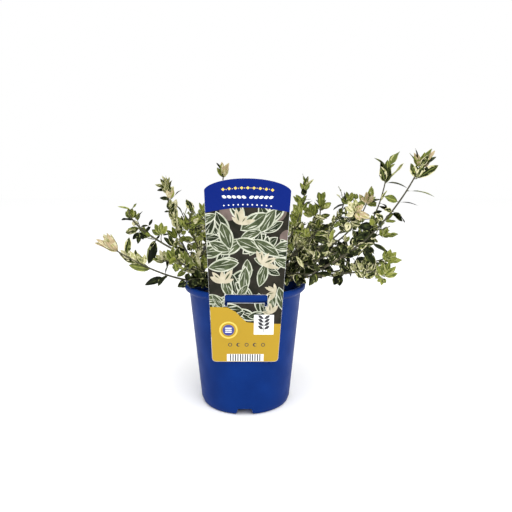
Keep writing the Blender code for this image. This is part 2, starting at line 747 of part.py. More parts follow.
def main():
    """Builds the pot and card, then the stems, the limbs and the masses of leaves."""
    clear_scene()
    pot_blue = make_material("pot_blue", (0.013, 0.042, 0.215), 0.42)
    soil = make_material("compost", (0.012, 0.008, 0.005), 0.95)
    print_blue = make_material("card_print", (0.011, 0.027, 0.210), 0.30)
    bark = make_material("bark", (0.075, 0.062, 0.035), 0.80)
    leaf_green = make_material("leaf_variegated", (0.30, 0.33, 0.12), 0.45)

    room = Room()
    for piece in (build_pot(pot_blue), build_compost(soil), build_card(print_blue)):
        room.add(piece.name, *solid_parts(piece))
    stem = build_stem(bark)
    room.add(stem.name, *solid_parts(stem))

    lines = [ShootLine(shoot) for shoot in SHOOTS]
    for line in lines:
        if line.shoot.bare:
            limb = build_limb(line, bark)
            room.add(limb.name, *solid_parts(limb))
    masses = [Mass(line, room) for line in lines]
    for mass in masses:
        first = mass_start(mass.line)
        spine = [mass.line.at_share(first + (1 - first) * step / 12) for step in range(13)]
        room.spines[mass.name] = spine
        mass.keep(*stem_of_mass(mass.line))
    for mass in masses:
        mass.grow()
    for mass in masses:
        mass.build(leaf_green)
    return masses


if __name__ == "__main__":
    main()
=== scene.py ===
"""The visual model of a harlequin wintercreeper in a blue nursery pot with a picture card."""

import itertools
import logging
import math
import random
from dataclasses import dataclass
from enum import Enum

import bpy
import numpy as np
from mathutils import Matrix, Vector, noise


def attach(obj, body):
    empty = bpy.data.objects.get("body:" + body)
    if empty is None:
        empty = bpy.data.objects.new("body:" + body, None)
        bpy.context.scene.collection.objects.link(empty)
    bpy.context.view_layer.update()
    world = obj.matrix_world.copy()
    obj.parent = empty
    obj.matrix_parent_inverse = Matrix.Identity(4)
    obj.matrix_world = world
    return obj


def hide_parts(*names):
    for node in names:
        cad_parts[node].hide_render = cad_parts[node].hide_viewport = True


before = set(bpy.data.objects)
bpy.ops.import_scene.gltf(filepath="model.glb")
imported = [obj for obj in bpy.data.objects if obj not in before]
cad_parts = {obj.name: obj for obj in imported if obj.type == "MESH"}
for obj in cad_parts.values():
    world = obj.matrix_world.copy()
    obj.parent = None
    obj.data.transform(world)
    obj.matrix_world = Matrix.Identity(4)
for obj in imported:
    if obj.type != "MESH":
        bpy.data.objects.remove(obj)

LOG = logging.getLogger("wintercreeper")
ROOT = "root"
MM = 0.001

POT_HEIGHT = 0.1505
COMPOST_TOP = 0.1330
GAP = 0.0003

Colour = tuple[float, float, float]
Outline = list[tuple[float, float]]
Piece = bpy.types.Object
Socket = bpy.types.NodeSocket
Tree = bpy.types.NodeTree


def linear(colour: Colour) -> tuple[float, float, float, float]:
    """Turns an 8-bit sRGB colour into linear values.

    Args:
        colour: Red, green and blue, 0 to 255.

    Returns:
        The colour in linear values, 0 to 1, and an alpha of 1.
    """
    shares = [part / 255 for part in colour]
    return (*(c / 12.92 if c <= 0.04045 else ((c + 0.055) / 1.055) ** 2.4 for c in shares), 1.0)


def feed(socket: Socket, source: Socket | float | tuple) -> None:
    """Links a shader socket to another one, or sets its value."""
    if isinstance(source, Socket):
        socket.id_data.links.new(source, socket)
    else:
        socket.default_value = source


class MaskGroups:
    """The node groups that the materials share. Each turns a pattern on a piece into a mask from 0 to 1."""

    DETAIL = 3.0

    @classmethod
    def clouding(cls) -> Tree:
        """Soft patches that drift over a surface."""
        found = bpy.data.node_groups.get("clouding")
        if found:
            return found
        tree, inputs = cls._start("clouding", Scale=60.0, Contrast=1.0)
        field = cls._pattern(tree, inputs, "ShaderNodeTexNoise")
        feed(field.inputs["Detail"], cls.DETAIL)
        centred = cls._math(tree, "SUBTRACT", field.outputs["Fac"], 0.5)
        spread = cls._math(tree, "MULTIPLY", centred, inputs["Contrast"])
        return cls._end(tree, cls._math(tree, "ADD", spread, 0.5))

    @classmethod
    def specks(cls) -> Tree:
        """Small scattered specks, such as dust or grit."""
        found = bpy.data.node_groups.get("specks")
        if found:
            return found
        tree, inputs = cls._start("specks", Scale=900.0, Size=0.12)
        field = cls._pattern(tree, inputs, "ShaderNodeTexVoronoi")
        return cls._end(tree, cls._math(tree, "LESS_THAN", field.outputs["Distance"], inputs["Size"]))

    @staticmethod
    def _start(name: str, **values: float) -> tuple[Tree, bpy.types.NodeOutputs]:
        """Makes a group with float inputs and a mask as its output, and gives its inputs' sockets."""
        tree = bpy.data.node_groups.new(name, "ShaderNodeTree")
        for socket, value in values.items():
            made = tree.interface.new_socket(name=socket, in_out="INPUT", socket_type="NodeSocketFloat")
            made.default_value = value
        tree.interface.new_socket(name="Mask", in_out="OUTPUT", socket_type="NodeSocketFloat")
        return tree, tree.nodes.new("NodeGroupInput").outputs

    @staticmethod
    def _pattern(tree: Tree, inputs: bpy.types.NodeOutputs, kind: str) -> bpy.types.Node:
        """Adds a texture on the piece's own coordinates, at the group's scale."""
        field = tree.nodes.new(kind)
        feed(field.inputs["Vector"], tree.nodes.new("ShaderNodeTexCoord").outputs["Object"])
        feed(field.inputs["Scale"], inputs["Scale"])
        return field

    @staticmethod
    def _math(tree: Tree, operation: str, *terms: Socket | float) -> Socket:
        """Adds a math node on two terms. What an addition gives is kept between 0 and 1."""
        node = tree.nodes.new("ShaderNodeMath")
        node.operation, node.use_clamp = operation, operation == "ADD"
        for socket, term in zip(node.inputs, terms):
            feed(socket, term)
        return node.outputs[0]

    @staticmethod
    def _end(tree: Tree, mask: Socket) -> Tree:
        """Puts the mask out of the group."""
        feed(tree.nodes.new("NodeGroupOutput").inputs["Mask"], mask)
        return tree


@dataclass(frozen=True)
class Finish:
    """A surface finish, from its colour and its shade to its grain.

    Colours are in 8-bit sRGB, scales in waves per metre, and grain_depth is in metres.
    """

    name: str
    colour: Colour
    shade: Colour
    roughness: float
    rough_spread: float = 0.08
    patch_scale: float = 60.0
    patch_contrast: float = 1.6
    grain_scale: float = 1500.0
    grain_depth: float = 0.00004
    specular: float = 0.5
    speck_colour: Colour | None = None

    SPECKS = {"Scale": 420.0, "Size": 0.050}
    GRAIN_CONTRAST = 1.5

    def material(self) -> bpy.types.Material:
        """Builds the finish's node material, once.

        Returns:
            The Blender material.
        """
        found = bpy.data.materials.get(self.name)
        if found:
            return found
        material = bpy.data.materials.new(self.name)
        material.use_nodes = True
        tree = material.node_tree
        shader = tree.nodes["Principled BSDF"].inputs
        clouding = MaskGroups.clouding()
        patches = self._mask(tree, clouding, Scale=self.patch_scale, Contrast=self.patch_contrast)
        colour = self._blend(tree, patches, linear(self.colour), linear(self.shade))
        if self.speck_colour:
            specks = self._mask(tree, MaskGroups.specks(), **self.SPECKS)
            colour = self._blend(tree, specks, colour, linear(self.speck_colour))
        gloss = tree.nodes.new("ShaderNodeMapRange")
        feed(gloss.inputs["Value"], patches)
        feed(gloss.inputs["To Min"], max(0.02, self.roughness - self.rough_spread))
        feed(gloss.inputs["To Max"], min(1.0, self.roughness + self.rough_spread))
        grain = self._mask(tree, clouding, Scale=self.grain_scale, Contrast=self.GRAIN_CONTRAST)
        bump = tree.nodes.new("ShaderNodeBump")
        feed(bump.inputs["Height"], grain)
        feed(bump.inputs["Distance"], self.grain_depth)
        feed(shader["Base Color"], colour)
        feed(shader["Roughness"], gloss.outputs["Result"])
        feed(shader["Normal"], bump.outputs["Normal"])
        feed(shader["Specular IOR Level"], self.specular)
        return material

    @staticmethod
    def _mask(tree: Tree, group: Tree, **values: float) -> Socket:
        """Places a shared group with its values, and gives its mask."""
        node = tree.nodes.new("ShaderNodeGroup")
        node.node_tree = group
        for name, value in values.items():
            node.inputs[name].default_value = value
        return node.outputs["Mask"]

    @staticmethod
    def _blend(tree: Tree, mask: Socket, *colours: tuple) -> Socket:
        """Blends two colours by a mask. Either may be another node's socket."""
        node = tree.nodes.new("ShaderNodeMix")
        node.data_type = "RGBA"
        feed(node.inputs[0], mask)
        for socket, colour in zip(node.inputs[6:8], colours):
            feed(socket, colour)
        return node.outputs[2]


POT_BLUE = Finish("pot_blue", (9, 48, 118), (6, 39, 102), 0.44, 0.07, 40.0, 1.8, 2600.0, 0.00002, 0.05,
                  speck_colour=(60, 92, 156))
PEAT = Finish("peat", (42, 32, 24), (20, 15, 12), 0.95, 0.04, 160.0, 2.4, 1400.0, 0.0006)
CRUMB = Finish("peat_crumb", (58, 44, 32), (28, 21, 16), 0.95, 0.04, 300.0, 2.4, 1600.0, 0.0004)
CARD_WHITE = Finish("card_white", (226, 228, 230), (214, 217, 221), 0.34, 0.04, 30.0)
BARK = Finish("bark", (72, 61, 42), (38, 32, 22), 0.78, 0.10, 420.0, 2.2, 1800.0, 0.00025)
YOUNG_BARK = Finish("young_bark", (76, 74, 46), (44, 42, 26), 0.62, 0.10, 380.0, 2.0, 1800.0, 0.00010)


def deselect() -> None:
    """Leaves object mode with nothing selected."""
    if bpy.context.mode != "OBJECT":
        bpy.ops.object.mode_set(mode="OBJECT")
    bpy.ops.object.select_all(action="DESELECT")


def activate(piece: Piece) -> None:
    """Makes one piece the only selected and the active one."""
    deselect()
    piece.select_set(True)
    bpy.context.view_layer.objects.active = piece


def apply_all(piece: Piece) -> None:
    """Applies every modifier of a piece, in order."""
    activate(piece)
    for modifier in list(piece.modifiers):
        bpy.ops.object.modifier_apply(modifier=modifier.name)


def smooth(piece: Piece, angle: float) -> None:
    """Shades a piece smooth, with creases over an angle in degrees."""
    activate(piece)
    bpy.ops.object.shade_smooth_by_angle(angle=math.radians(angle))


def take_out(piece: Piece, cutter: Piece) -> None:
    """Cuts one body out of another and removes the cutter."""
    modifier = piece.modifiers.new("cut", "BOOLEAN")
    modifier.operation, modifier.solver, modifier.object = "DIFFERENCE", "EXACT", cutter
    apply_all(piece)
    bpy.data.objects.remove(cutter, do_unlink=True)


def link(name: str, data: bpy.types.ID) -> Piece:
    """Puts a mesh, a light or a camera into the scene as an object of that name."""
    piece = bpy.data.objects.new(name, data)
    bpy.context.scene.collection.objects.link(piece)
    return piece


def mesh_piece(name: str, vertices: list, faces: list) -> Piece:
    """Links a piece whose mesh is made from arrays.

    Args:
        name: The piece's name.
        vertices: Its points, in metres.
        faces: Its faces, as tuples of point numbers.

    Returns:
        The new object, at the origin.
    """
    mesh = bpy.data.meshes.new(name)
    mesh.from_pydata(vertices, [], faces)
    mesh.update()
    return link(name, mesh)


def dress(piece: Piece, *finishes: Finish) -> Piece:
    """Gives a piece its finishes, and gives the piece back."""
    piece.data.materials.clear()
    for finish in finishes:
        piece.data.materials.append(finish.material())
    return piece


def seat(piece: Piece, slot: str, *nodes: str) -> None:
    """Lets a piece ride on the plant's body, in place of CAD nodes.

    Args:
        piece: The finished piece.
        slot: The record's material slot. Not used.
        nodes: The CAD nodes that it stands for.
    """
    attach(piece, ROOT)
    if nodes:
        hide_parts(*nodes)


def draw_up(name: str, profile: Outline, sides: int) -> Piece:
    """Draws a closed round body up from a disc through a list of rings.

    Args:
        name: The piece's name.
        profile: (radius, height) of each ring, from the disc on.
        sides: Points on each ring.

    Returns:
        The closed body, with its faces outwards.
    """
    deselect()
    radius, height = profile[0]
    bpy.ops.mesh.primitive_circle_add(
        vertices=sides, radius=radius, fill_type="NGON", location=(0, 0, height))
    piece = bpy.context.object
    piece.name = piece.data.name = name
    bpy.ops.object.transform_apply(location=True, rotation=False, scale=False)
    bpy.ops.object.mode_set(mode="EDIT")
    bpy.ops.mesh.select_all(action="SELECT")
    for step_radius, step_height in profile[1:]:
        bpy.ops.mesh.extrude_region_move(TRANSFORM_OT_translate={"value": (0, 0, step_height - height)})
        share = step_radius / radius
        bpy.ops.transform.resize(value=(share, share, 1.0), center_override=(0, 0, step_height))
        radius, height = step_radius, step_height
    bpy.ops.mesh.select_all(action="SELECT")
    bpy.ops.mesh.normals_make_consistent(inside=False)
    bpy.ops.object.mode_set(mode="OBJECT")
    return piece


@dataclass
class Pot:
    """The nursery pot: a tapered wall with a rolled rim, a foot ring with notches and a drained groove.

    The rounds are lists of ring steps: out from the foot and up, or in from the rim and down. Other steps
    of the inside are named for where they lead.
    """

    height: float = POT_HEIGHT
    rim_radius: float = 0.0750
    rim_inner: float = 0.0705
    rim_depth: float = 0.0100
    wall_top: float = 0.0693
    wall_foot: float = 0.0563
    foot_radius: float = 0.0520
    heel: float = 0.0055
    wall: float = 0.0012
    base: float = 0.0016
    groove_depth: float = 0.0083
    groove_inner: float = 0.0370
    groove_outer: float = 0.0455
    groove_slant: float = 0.0012
    notches: int = 4
    notch_roof: float = 0.0156
    notch_floor: float = 0.0216
    drains: int = 8
    drain_radius: float = 0.0028
    sides: int = 160

    FOOT_ROUND = ((0.0, 0.0), (0.0015, 0.0004), (0.0026, 0.0012))
    HEEL_ROUND = ((-0.0004, -0.0008), (0.0001, 0.0006))
    WALL_RINGS = 9
    WALL_START = 0.0120
    WALL_END_DOWN = 0.0008
    NECK_ROUND = ((0.0002, 0.0100), (0.0011, 0.0089))
    RIM_ROUND = ((0.0026, 0.0077), (0.0013, 0.0066), (0.0004, 0.0056), (0.0, 0.0042), (0.0, 0.0016),
                 (0.0003, 0.0007), (0.0009, 0.0001), (0.0016, 0.0))
    LIP_ROUND = ((-0.0004, 0.0), (0.0004, 0.0003), (0.0007, 0.0010))
    SHOULDER_DOWN = 0.0030
    HALFWAY = 0.0800
    CORNER_UP = 0.0016
    CORNER_RISE = 0.0012
    CORNER_IN = 0.0020
    ROOF_IN = 0.0008
    FLOOR_IN = 0.0024
    NOTCH_ENDS = (-0.0030, 0.0100)
    CUTTER_SPARE = 0.0020
    CREASE = 32.0

    def wall_radius(self, height: float) -> float:
        """The wall's outer radius at a height."""
        share = (height - self.heel) / (self.height - self.rim_depth - self.heel)
        return self.wall_foot + share * (self.wall_top - self.wall_foot)

    def outside(self) -> Outline:
        """The rings of the outside, from the underside's disc over the rim to its lip."""
        top = self.height
        heights = np.linspace(self.WALL_START, top - self.rim_depth - self.WALL_END_DOWN, self.WALL_RINGS)
        return [
            (self.groove_inner, 0.0), (self.groove_inner + self.groove_slant, self.groove_depth),
            (self.groove_outer, self.groove_depth), (self.groove_outer + self.groove_slant, 0.0),
            *((self.foot_radius + out, up) for out, up in self.FOOT_ROUND),
            *((self.wall_foot + out, self.heel + up) for out, up in self.HEEL_ROUND),
            *((self.wall_radius(height), height) for height in heights),
            *((self.wall_top + out, top - down) for out, down in self.NECK_ROUND),
            *((self.rim_radius - inwards, top - down) for inwards, down in self.RIM_ROUND),
            *((self.rim_inner - inwards, top - down) for inwards, down in self.LIP_ROUND),
        ]

    def inside(self, offset: float = 0.0) -> Outline:
        """The rings of the inside, from under the rim's lip down to the floor, drawn in by an offset."""
        shoulder, corner = self.height - self.SHOULDER_DOWN, self.heel + self.base + self.CORNER_UP
        inset, roof = self.wall + offset, self.groove_depth + self.base + offset
        outer, inner = self.wall_radius(corner) - inset, self.groove_inner
        return [
            (self.wall_radius(shoulder) - inset, shoulder),
            (self.wall_radius(self.HALFWAY) - inset, self.HALFWAY),
            (outer, corner + self.CORNER_RISE + offset), (outer - self.CORNER_IN, roof),
            (inner - self.ROOF_IN - offset, roof), (inner - self.FLOOR_IN - offset, self.base + offset),
        ]

    def build(self) -> None:
        """Builds the pot, cuts its notches and drains, and dresses it."""
        pot = draw_up("pot_shell", self.outside() + self.inside(), self.sides)
        for place in range(self.notches):
            take_out(pot, self._notch(math.tau * place / self.notches))
        for place in range(self.drains):
            take_out(pot, self._drain(math.tau * (place + 0.5) / self.drains))
        smooth(pot, self.CREASE)
        seat(dress(pot, POT_BLUE), "pot", "pot")

    def _notch(self, turn: float) -> Piece:
        """The trapezoid that opens the foot ring to the groove."""
        near, far = self.groove_outer + self.NOTCH_ENDS[0], self.wall_foot + self.NOTCH_ENDS[1]
        under = self.CUTTER_SPARE
        slope = (self.notch_floor - self.notch_roof) / 2 / self.groove_depth
        deselect()
        place = ((near + far) / 2, 0, (self.groove_depth - under) / 2)
        bpy.ops.mesh.primitive_cube_add(size=1.0, location=place)
        cutter = bpy.context.object
        cutter.scale = (far - near, 1.0, self.groove_depth + under)
        bpy.ops.object.transform_apply(location=True, rotation=False, scale=True)
        for vertex in cutter.data.vertices:
            wide = self.notch_roof / 2 + slope * (self.groove_depth - vertex.co.z)
            vertex.co.y = math.copysign(wide, vertex.co.y)
        cutter.data.transform(Matrix.Rotation(turn, 4, "Z"))
        return cutter

    def _drain(self, turn: float) -> Piece:
        """The round cutter of one drain hole."""
        middle = (self.groove_inner + self.groove_slant + self.groove_outer) / 2
        place = (middle * math.cos(turn), middle * math.sin(turn), self.groove_depth)
        deselect()
        bpy.ops.mesh.primitive_cylinder_add(
            vertices=24, radius=self.drain_radius, depth=4 * self.CUTTER_SPARE, location=place)
        bpy.ops.object.transform_apply(location=True, rotation=False, scale=False)
        return bpy.context.object


@dataclass
class Compost:
    """The compost: a peat filling with a lumpy crown and loose crumbs."""

    pot: Pot
    crown: float = 0.0030
    flat_radius: float = 0.0300
    lump_height: float = 0.0013
    lumps_per_metre: float = 130.0
    sides: int = 120
    crown_rings: int = 24
    crumbs: int = 700

    DISC_SHARE = 0.9
    CROWN_SHARES = (0.96, 0.04)
    MIDDLE = 0.0120
    LUMP_NOISE = (0.9, 2.1, 4)
    CREASE = 50.0
    CRUMB_PLACES = (0.03, 1.0)
    CRUMB_SIZES = (0.0005, 0.0017)
    CRUMB_STRETCH = ((0.6, 1.3), (0.6, 1.3), (0.5, 0.9))
    CRUMB_DENTS = (0.75, 1.2)
    CRUMB_RAISED = 0.3

    def __post_init__(self) -> None:
        """Works out where the crown meets the pot's wall."""
        self.edge = COMPOST_TOP - self.crown
        self.radius = self.pot.wall_radius(self.edge) - self.pot.wall - GAP

    def crown_height(self, ring: float) -> float:
        """The crown's height at a distance from the middle."""
        rise = min(1.0, (self.radius - ring) / (self.radius - self.flat_radius))
        return self.edge + self.crown * math.sin(rise * math.pi / 2)

    def build(self) -> None:
        """Builds the filling and its crumbs."""
        low = [ring for ring in self.pot.inside(GAP)[::-1] if ring[1] < self.edge - 0.002]
        radii = [self.radius * share for share in np.linspace(*self.CROWN_SHARES, self.crown_rings)]
        rings = [(self.DISC_SHARE * low[0][0], low[0][1]), *low, (self.radius, self.edge)]
        rings += [(radius, self.crown_height(radius)) for radius in radii]
        filling = draw_up("compost_filling", rings, self.sides)
        for vertex in filling.data.vertices:
            on_crown = vertex.co.z >= self.edge - 0.0005
            if on_crown and self.MIDDLE <= vertex.co.xy.length <= self.radius - 0.001:
                lump = noise.fractal(vertex.co * self.lumps_per_metre, *self.LUMP_NOISE)
                vertex.co.z += self.lump_height * lump
        smooth(dress(filling, PEAT), self.CREASE)
        seat(filling, "compost", "compost")
        seat(self._crumbs(), "compost")

    def _crumbs(self) -> Piece:
        """The loose crumbs on the crown, from one lump's arrays."""
        draw = random.Random("peat crumbs")
        deselect()
        bpy.ops.mesh.primitive_ico_sphere_add(subdivisions=1, radius=1.0)
        lump = bpy.context.object
        base = np.array([v.co[:] for v in lump.data.vertices])
        shape = np.array([p.vertices[:] for p in lump.data.polygons])
        bpy.data.objects.remove(lump, do_unlink=True)
        vertices, faces = [], []
        for _ in range(self.crumbs):
            ring = self.radius * self.CROWN_SHARES[0] * math.sqrt(draw.uniform(*self.CRUMB_PLACES))
            turn = draw.uniform(0, math.tau)
            size = draw.uniform(*self.CRUMB_SIZES)
            stretch = np.array([draw.uniform(*shares) for shares in self.CRUMB_STRETCH])
            dents = np.array([[draw.uniform(*self.CRUMB_DENTS)] for _ in base])
            height = self.crown_height(ring) + self.CRUMB_RAISED * size
            place = np.array([ring * math.cos(turn), ring * math.sin(turn), height])
            faces += (shape + len(vertices)).tolist()
            vertices += (base * dents * stretch * size + place).tolist()
        return dress(mesh_piece("compost_crumbs", vertices, faces), CRUMB)


def card_matrix() -> Matrix:
    """Places the card's own plane, x across and y up from the rim, leaning out over the pot's front."""
    lean, roll, yaw = math.radians(6.4), math.radians(0.9), math.radians(2.0)
    front, hook = 0.0716, 0.0035
    rim_point = Vector((0.0, -front - hook * math.tan(lean), POT_HEIGHT))
    upright = Matrix.Rotation(math.radians(90) + lean, 4, "X")
    level = Matrix.Translation(rim_point) @ upright @ Matrix.Rotation(-roll, 4, "Z")
    return Matrix.Rotation(yaw, 4, "Z") @ level


def matt_print(name: str, colour: Colour, shade: Colour, patch_scale: float, patch_contrast: float = 1.6,
               specular: float = 0.08) -> Finish:
    """A finish of the card's print that hardly shines."""
    return Finish(f"print_{name}", colour, shade, 0.36, 0.04, patch_scale, patch_contrast, specular=specular)


def gloss_print(name: str, colour: Colour, shade: Colour, roughness: float = 0.34,
                patch_scale: float = 40.0) -> Finish:
    """A finish of the card's print that shines like its plastic."""
    return Finish(f"print_{name}", colour, shade, roughness, 0.04, patch_scale)


PRINT_YELLOW = matt_print("yellow", (180, 147, 44), (173, 141, 44), 20.0, specular=0.10)
PRINT_GOLD = gloss_print("gold", (236, 206, 92), (226, 190, 80))
PRINT_WHITE = gloss_print("white", (244, 245, 244), (236, 238, 238))
PRINT_INK = gloss_print("ink", (26, 26, 34), (36, 36, 42))
PRINTS = {
    "shade": matt_print("shade", (26, 28, 20), (48, 44, 38), 90.0, 3.0),
    "ground": matt_print("ground", (118, 102, 98), (88, 80, 72), 60.0, 3.0),
    "margin": matt_print("margin", (204, 206, 190), (158, 164, 142), 160.0, 3.0),
    "deep": matt_print("deep", (46, 56, 36), (28, 36, 22), 120.0, 2.4),
    "leaf": matt_print("leaf", (84, 94, 66), (54, 62, 42), 160.0, 3.0),
    "cream": matt_print("cream", (206, 198, 176), (172, 164, 138), 120.0, 2.0),
    "foot": PRINT_YELLOW,
    "badge_0": PRINT_GOLD,
    "badge_1": PRINT_YELLOW,
    "badge_2": gloss_print("violet", (60, 70, 150), (48, 56, 130), 0.32, 60.0),
    "badge_bars": PRINT_WHITE,
    "square": PRINT_WHITE,
    "sprig": PRINT_INK,
    "icons": PRINT_INK,
    "icons_core": PRINT_YELLOW,
    "box": PRINT_WHITE,
    "stripes": PRINT_INK,
    "head": matt_print("blue", (2, 28, 108), (4, 32, 114), 20.0),
    "head_gold": PRINT_GOLD,
    "head_white": PRINT_WHITE,
}


def rectangle(x: float, y: float, half: float, tall: float) -> Outline:
    """A rectangle round a middle, by half its width and half its height."""
    return [(x - half, y - tall), (x + half, y - tall), (x + half, y + tall), (x - half, y + tall)]


def disc(x: float, y: float, radius: float, sides: int) -> Outline:
    """A round shape's points."""
    turns = [math.tau * side / sides for side in range(sides)]
    return [(x + radius * math.cos(t), y + radius * math.sin(t)) for t in turns]


def blade(x: float, y: float, length: float, half: float, turn: float, steps: int = 6) -> Outline:
    """A pointed leaf shape's points, turned by an angle in degrees from +X.

    Args:
        x: Its middle, across.
        y: Its middle, up.
        length: From tip to tip.
        half: Half its width at the broadest.
        turn: Where it points.
        steps: How many steps each side has.

    Returns:
        The points, anticlockwise from one tip.
    """
    shares = [step / steps for step in range(1, steps)]
    left = [(length * (share - 0.5), half * math.sin(math.pi * share) ** 0.8) for share in shares]
    points = [(-length / 2, 0.0), *((along, -wide) for along, wide in left), (length / 2, 0.0), *left[::-1]]
    c, s = math.cos(math.radians(turn)), math.sin(math.radians(turn))
    return [(x + c * px - s * py, y + s * px + c * py) for px, py in points]


def clip(outline: Outline, sides: list[tuple[float, float, float]]) -> Outline:
    """Clips a flat outline to the inside of straight sides.

    Args:
        outline: The (x, y) points, in millimetres.
        sides: (a, b, c) for each side, which keeps a*x + b*y <= c.

    Returns:
        The points of what is left, or an empty list.
    """
    for a, b, c in sides:
        kept: Outline = []
        for (x0, y0), (x1, y1) in zip(outline, outline[1:] + outline[:1]):
            first, second = a * x0 + b * y0 - c, a * x1 + b * y1 - c
            if first <= 0:
                kept.append((x0, y0))
            if first * second < 0:
                share = first / (first - second)
                kept.append((x0 + share * (x1 - x0), y0 + share * (y1 - y0)))
        outline = kept
        if len(outline) < 3:
            return []
    return outline


@dataclass
class Card:
    """The picture card: the CAD plate in white plastic, with a print of thin inlays on its front.

    Sizes are in millimetres on the card's own plane, with 0 at the rim's top. PICTURE, SQUARE, STALK and BOX
    are a middle, half a width and half a height. GARLAND and DOTS are a row's height and its bend, and what
    ends in SHARES is a share of a leaf's length and one of its width.
    """

    top: float = 129.5
    shoulder: float = 116.5
    foot: float = -81.0
    head_half: float = 46.0
    foot_half: float = 38.0
    corner: float = 4.5
    thickness: float = 0.6
    bleed: float = 0.25
    window_half: float = 23.8
    window_top: float = 0.8
    window_floor: float = -13.2
    window_edge: float = 0.2
    tongue_half: float = 20.6
    tongue_top: float = -9.3
    leaves: int = 62

    LAYER = 0.0006
    SHEET = 0.0100
    PANEL = 0.0020
    HEAD_EDGE = (92.6, 94.2, 5.3)
    HEAD_POWERS = (2.1, 0.60)
    PICTURE = (0.0, 25.0, 50.0, 75.0)
    PATCHES = ((-44, 58, 11), (30, 95, 12), (-20, 94, 10), (44, 66, 9), (-46, 78, 9))
    LEAF_PLACES = ((-46, 46), (-30, 96))
    LEAF_LENGTHS = (20, 36)
    LEAF_HALVES = (0.19, 0.26)
    DEEP_SHARE = 0.6
    GREEN_SHARES = (0.92, 0.76)
    MIDRIB_SHARES = (0.86, 0.05)
    STREAKS = ((0.42, 0.10), (-0.46, -0.12))
    STREAK_SHARES = (0.34, 0.09)
    STREAK_TURN = 30
    TUFTS = ((-26, 14, 17, 30), (16, 36, 19, -10), (27, -22, 12, 60), (-8, 80, 16, 10), (33, 4, 13, 100))
    PETALS = 5
    PETAL_TURN = 32
    PETAL_CHANCE = 10
    PETAL_LENGTHS = (0.75, 1.15)
    PETAL_HALVES = (0.13, 0.20)
    PETAL_STREAK = (0.55, 0.05)
    SWEEP = ((14.0, -33.4), (1.0, -32.0), (-4.6, -27.0), (-11.5, -19.6), (-21.0, -14.4))
    SWEEP_RIGHT = -33.9
    SWEEP_LEFT = -13.9
    SWEEP_TURN = -13.7
    SWEEP_IN = 0.4
    BADGE = (-19.5, -41.8)
    BADGE_RINGS = (10.4, 8.6, 6.6)
    BADGE_BAR = (3.6, 0.6)
    BADGE_STEP = 2.4
    SQUARE = (20.4, -35.0, 11.2, 12.0)
    STALK = (20.4, -35.5, 0.3, 9.0)
    SPRIG_LEAF = (7.6, 1.7)
    SPRIG_TURN = 52
    SPRIG_OUT = 3.6
    SPRIG_DOWN = 3.4
    SPRIG_STEP = 4.2
    ICONS = (-17.5, -59.7)
    ICON_STEP = 9.4
    ICON_RADII = (2.3, 1.5)
    ICON_SHIFT = 0.8
    BOX = (0.0, -75.8, 21.0, 4.4)
    STRIPE = (0.7, 4.2)
    STRIPE_STEP = 2.8
    GARLAND = (119.4, 0.0030)
    GARLAND_STEP = 6.5
    DIAMOND = (1.9, 1.7)
    BEAD = 0.55
    WHITE_ROW = 109.6
    WHITE_START = 4
    WHITE_STEP = 5.2
    WHITE_LEAF = (5.4, 1.5)
    WHITE_TURN = 22
    DOTS = (101.6, 0.002)
    DOT = 0.8

    def __post_init__(self) -> None:
        """Starts the print's lists and works out the parts of the front that it may cover."""
        self.layers: dict[str, tuple[list, list]] = {}
        self.rise = 0.02
        self.slope = (self.head_half - self.foot_half) / (self.shoulder - self.foot)
        flank = self.half_width(0.0)
        sides = [(1.0, -self.slope, flank), (-1.0, -self.slope, flank)]
        half, over = self.window_half + self.window_edge, self.window_top + self.window_edge
        under = self.window_floor
        self.regions = (
            sides + [(0.0, -1.0, -over), (0.0, 1.0, self.shoulder)],
            sides + [(0.0, 1.0, under), (0.0, -1.0, -self.foot)],
            sides + [(1.0, 0.0, -half), (0.0, 1.0, over), (0.0, -1.0, -under)],
            sides + [(-1.0, 0.0, -half), (0.0, 1.0, over), (0.0, -1.0, -under)],
            [(1.0, 0.0, self.tongue_half), (-1.0, 0.0, self.tongue_half), (0.0, 1.0, self.tongue_top),
             (0.0, -1.0, -under)],
        )

    def half_width(self, height: float) -> float:
        """Half the card's width at a height, less the bleed."""
        return self.foot_half + (height - self.foot) * self.slope - self.bleed

    def lay(self, piece: str, outline: Outline, step: float = LAYER) -> None:
        """Lays one flat shape on the print, above all that lies there.

        Args:
            piece: The piece of the print that it joins, by its key in PRINTS.
            outline: The shape's points, anticlockwise.
            step: How far above the last shape it lies.
        """
        self.rise += step
        vertices, faces = self.layers.setdefault(piece, ([], []))
        faces.append(tuple(range(len(vertices), len(vertices) + len(outline))))
        vertices += [(x, y, self.thickness + self.rise) for x, y in outline]

    def lay_clipped(self, piece: str, outline: Outline, step: float = LAYER) -> None:
        """Lays a shape clipped to the front round the window."""
        for region in self.regions:
            part = clip(outline, region)
            if part:
                self.lay(piece, part, step / 4)

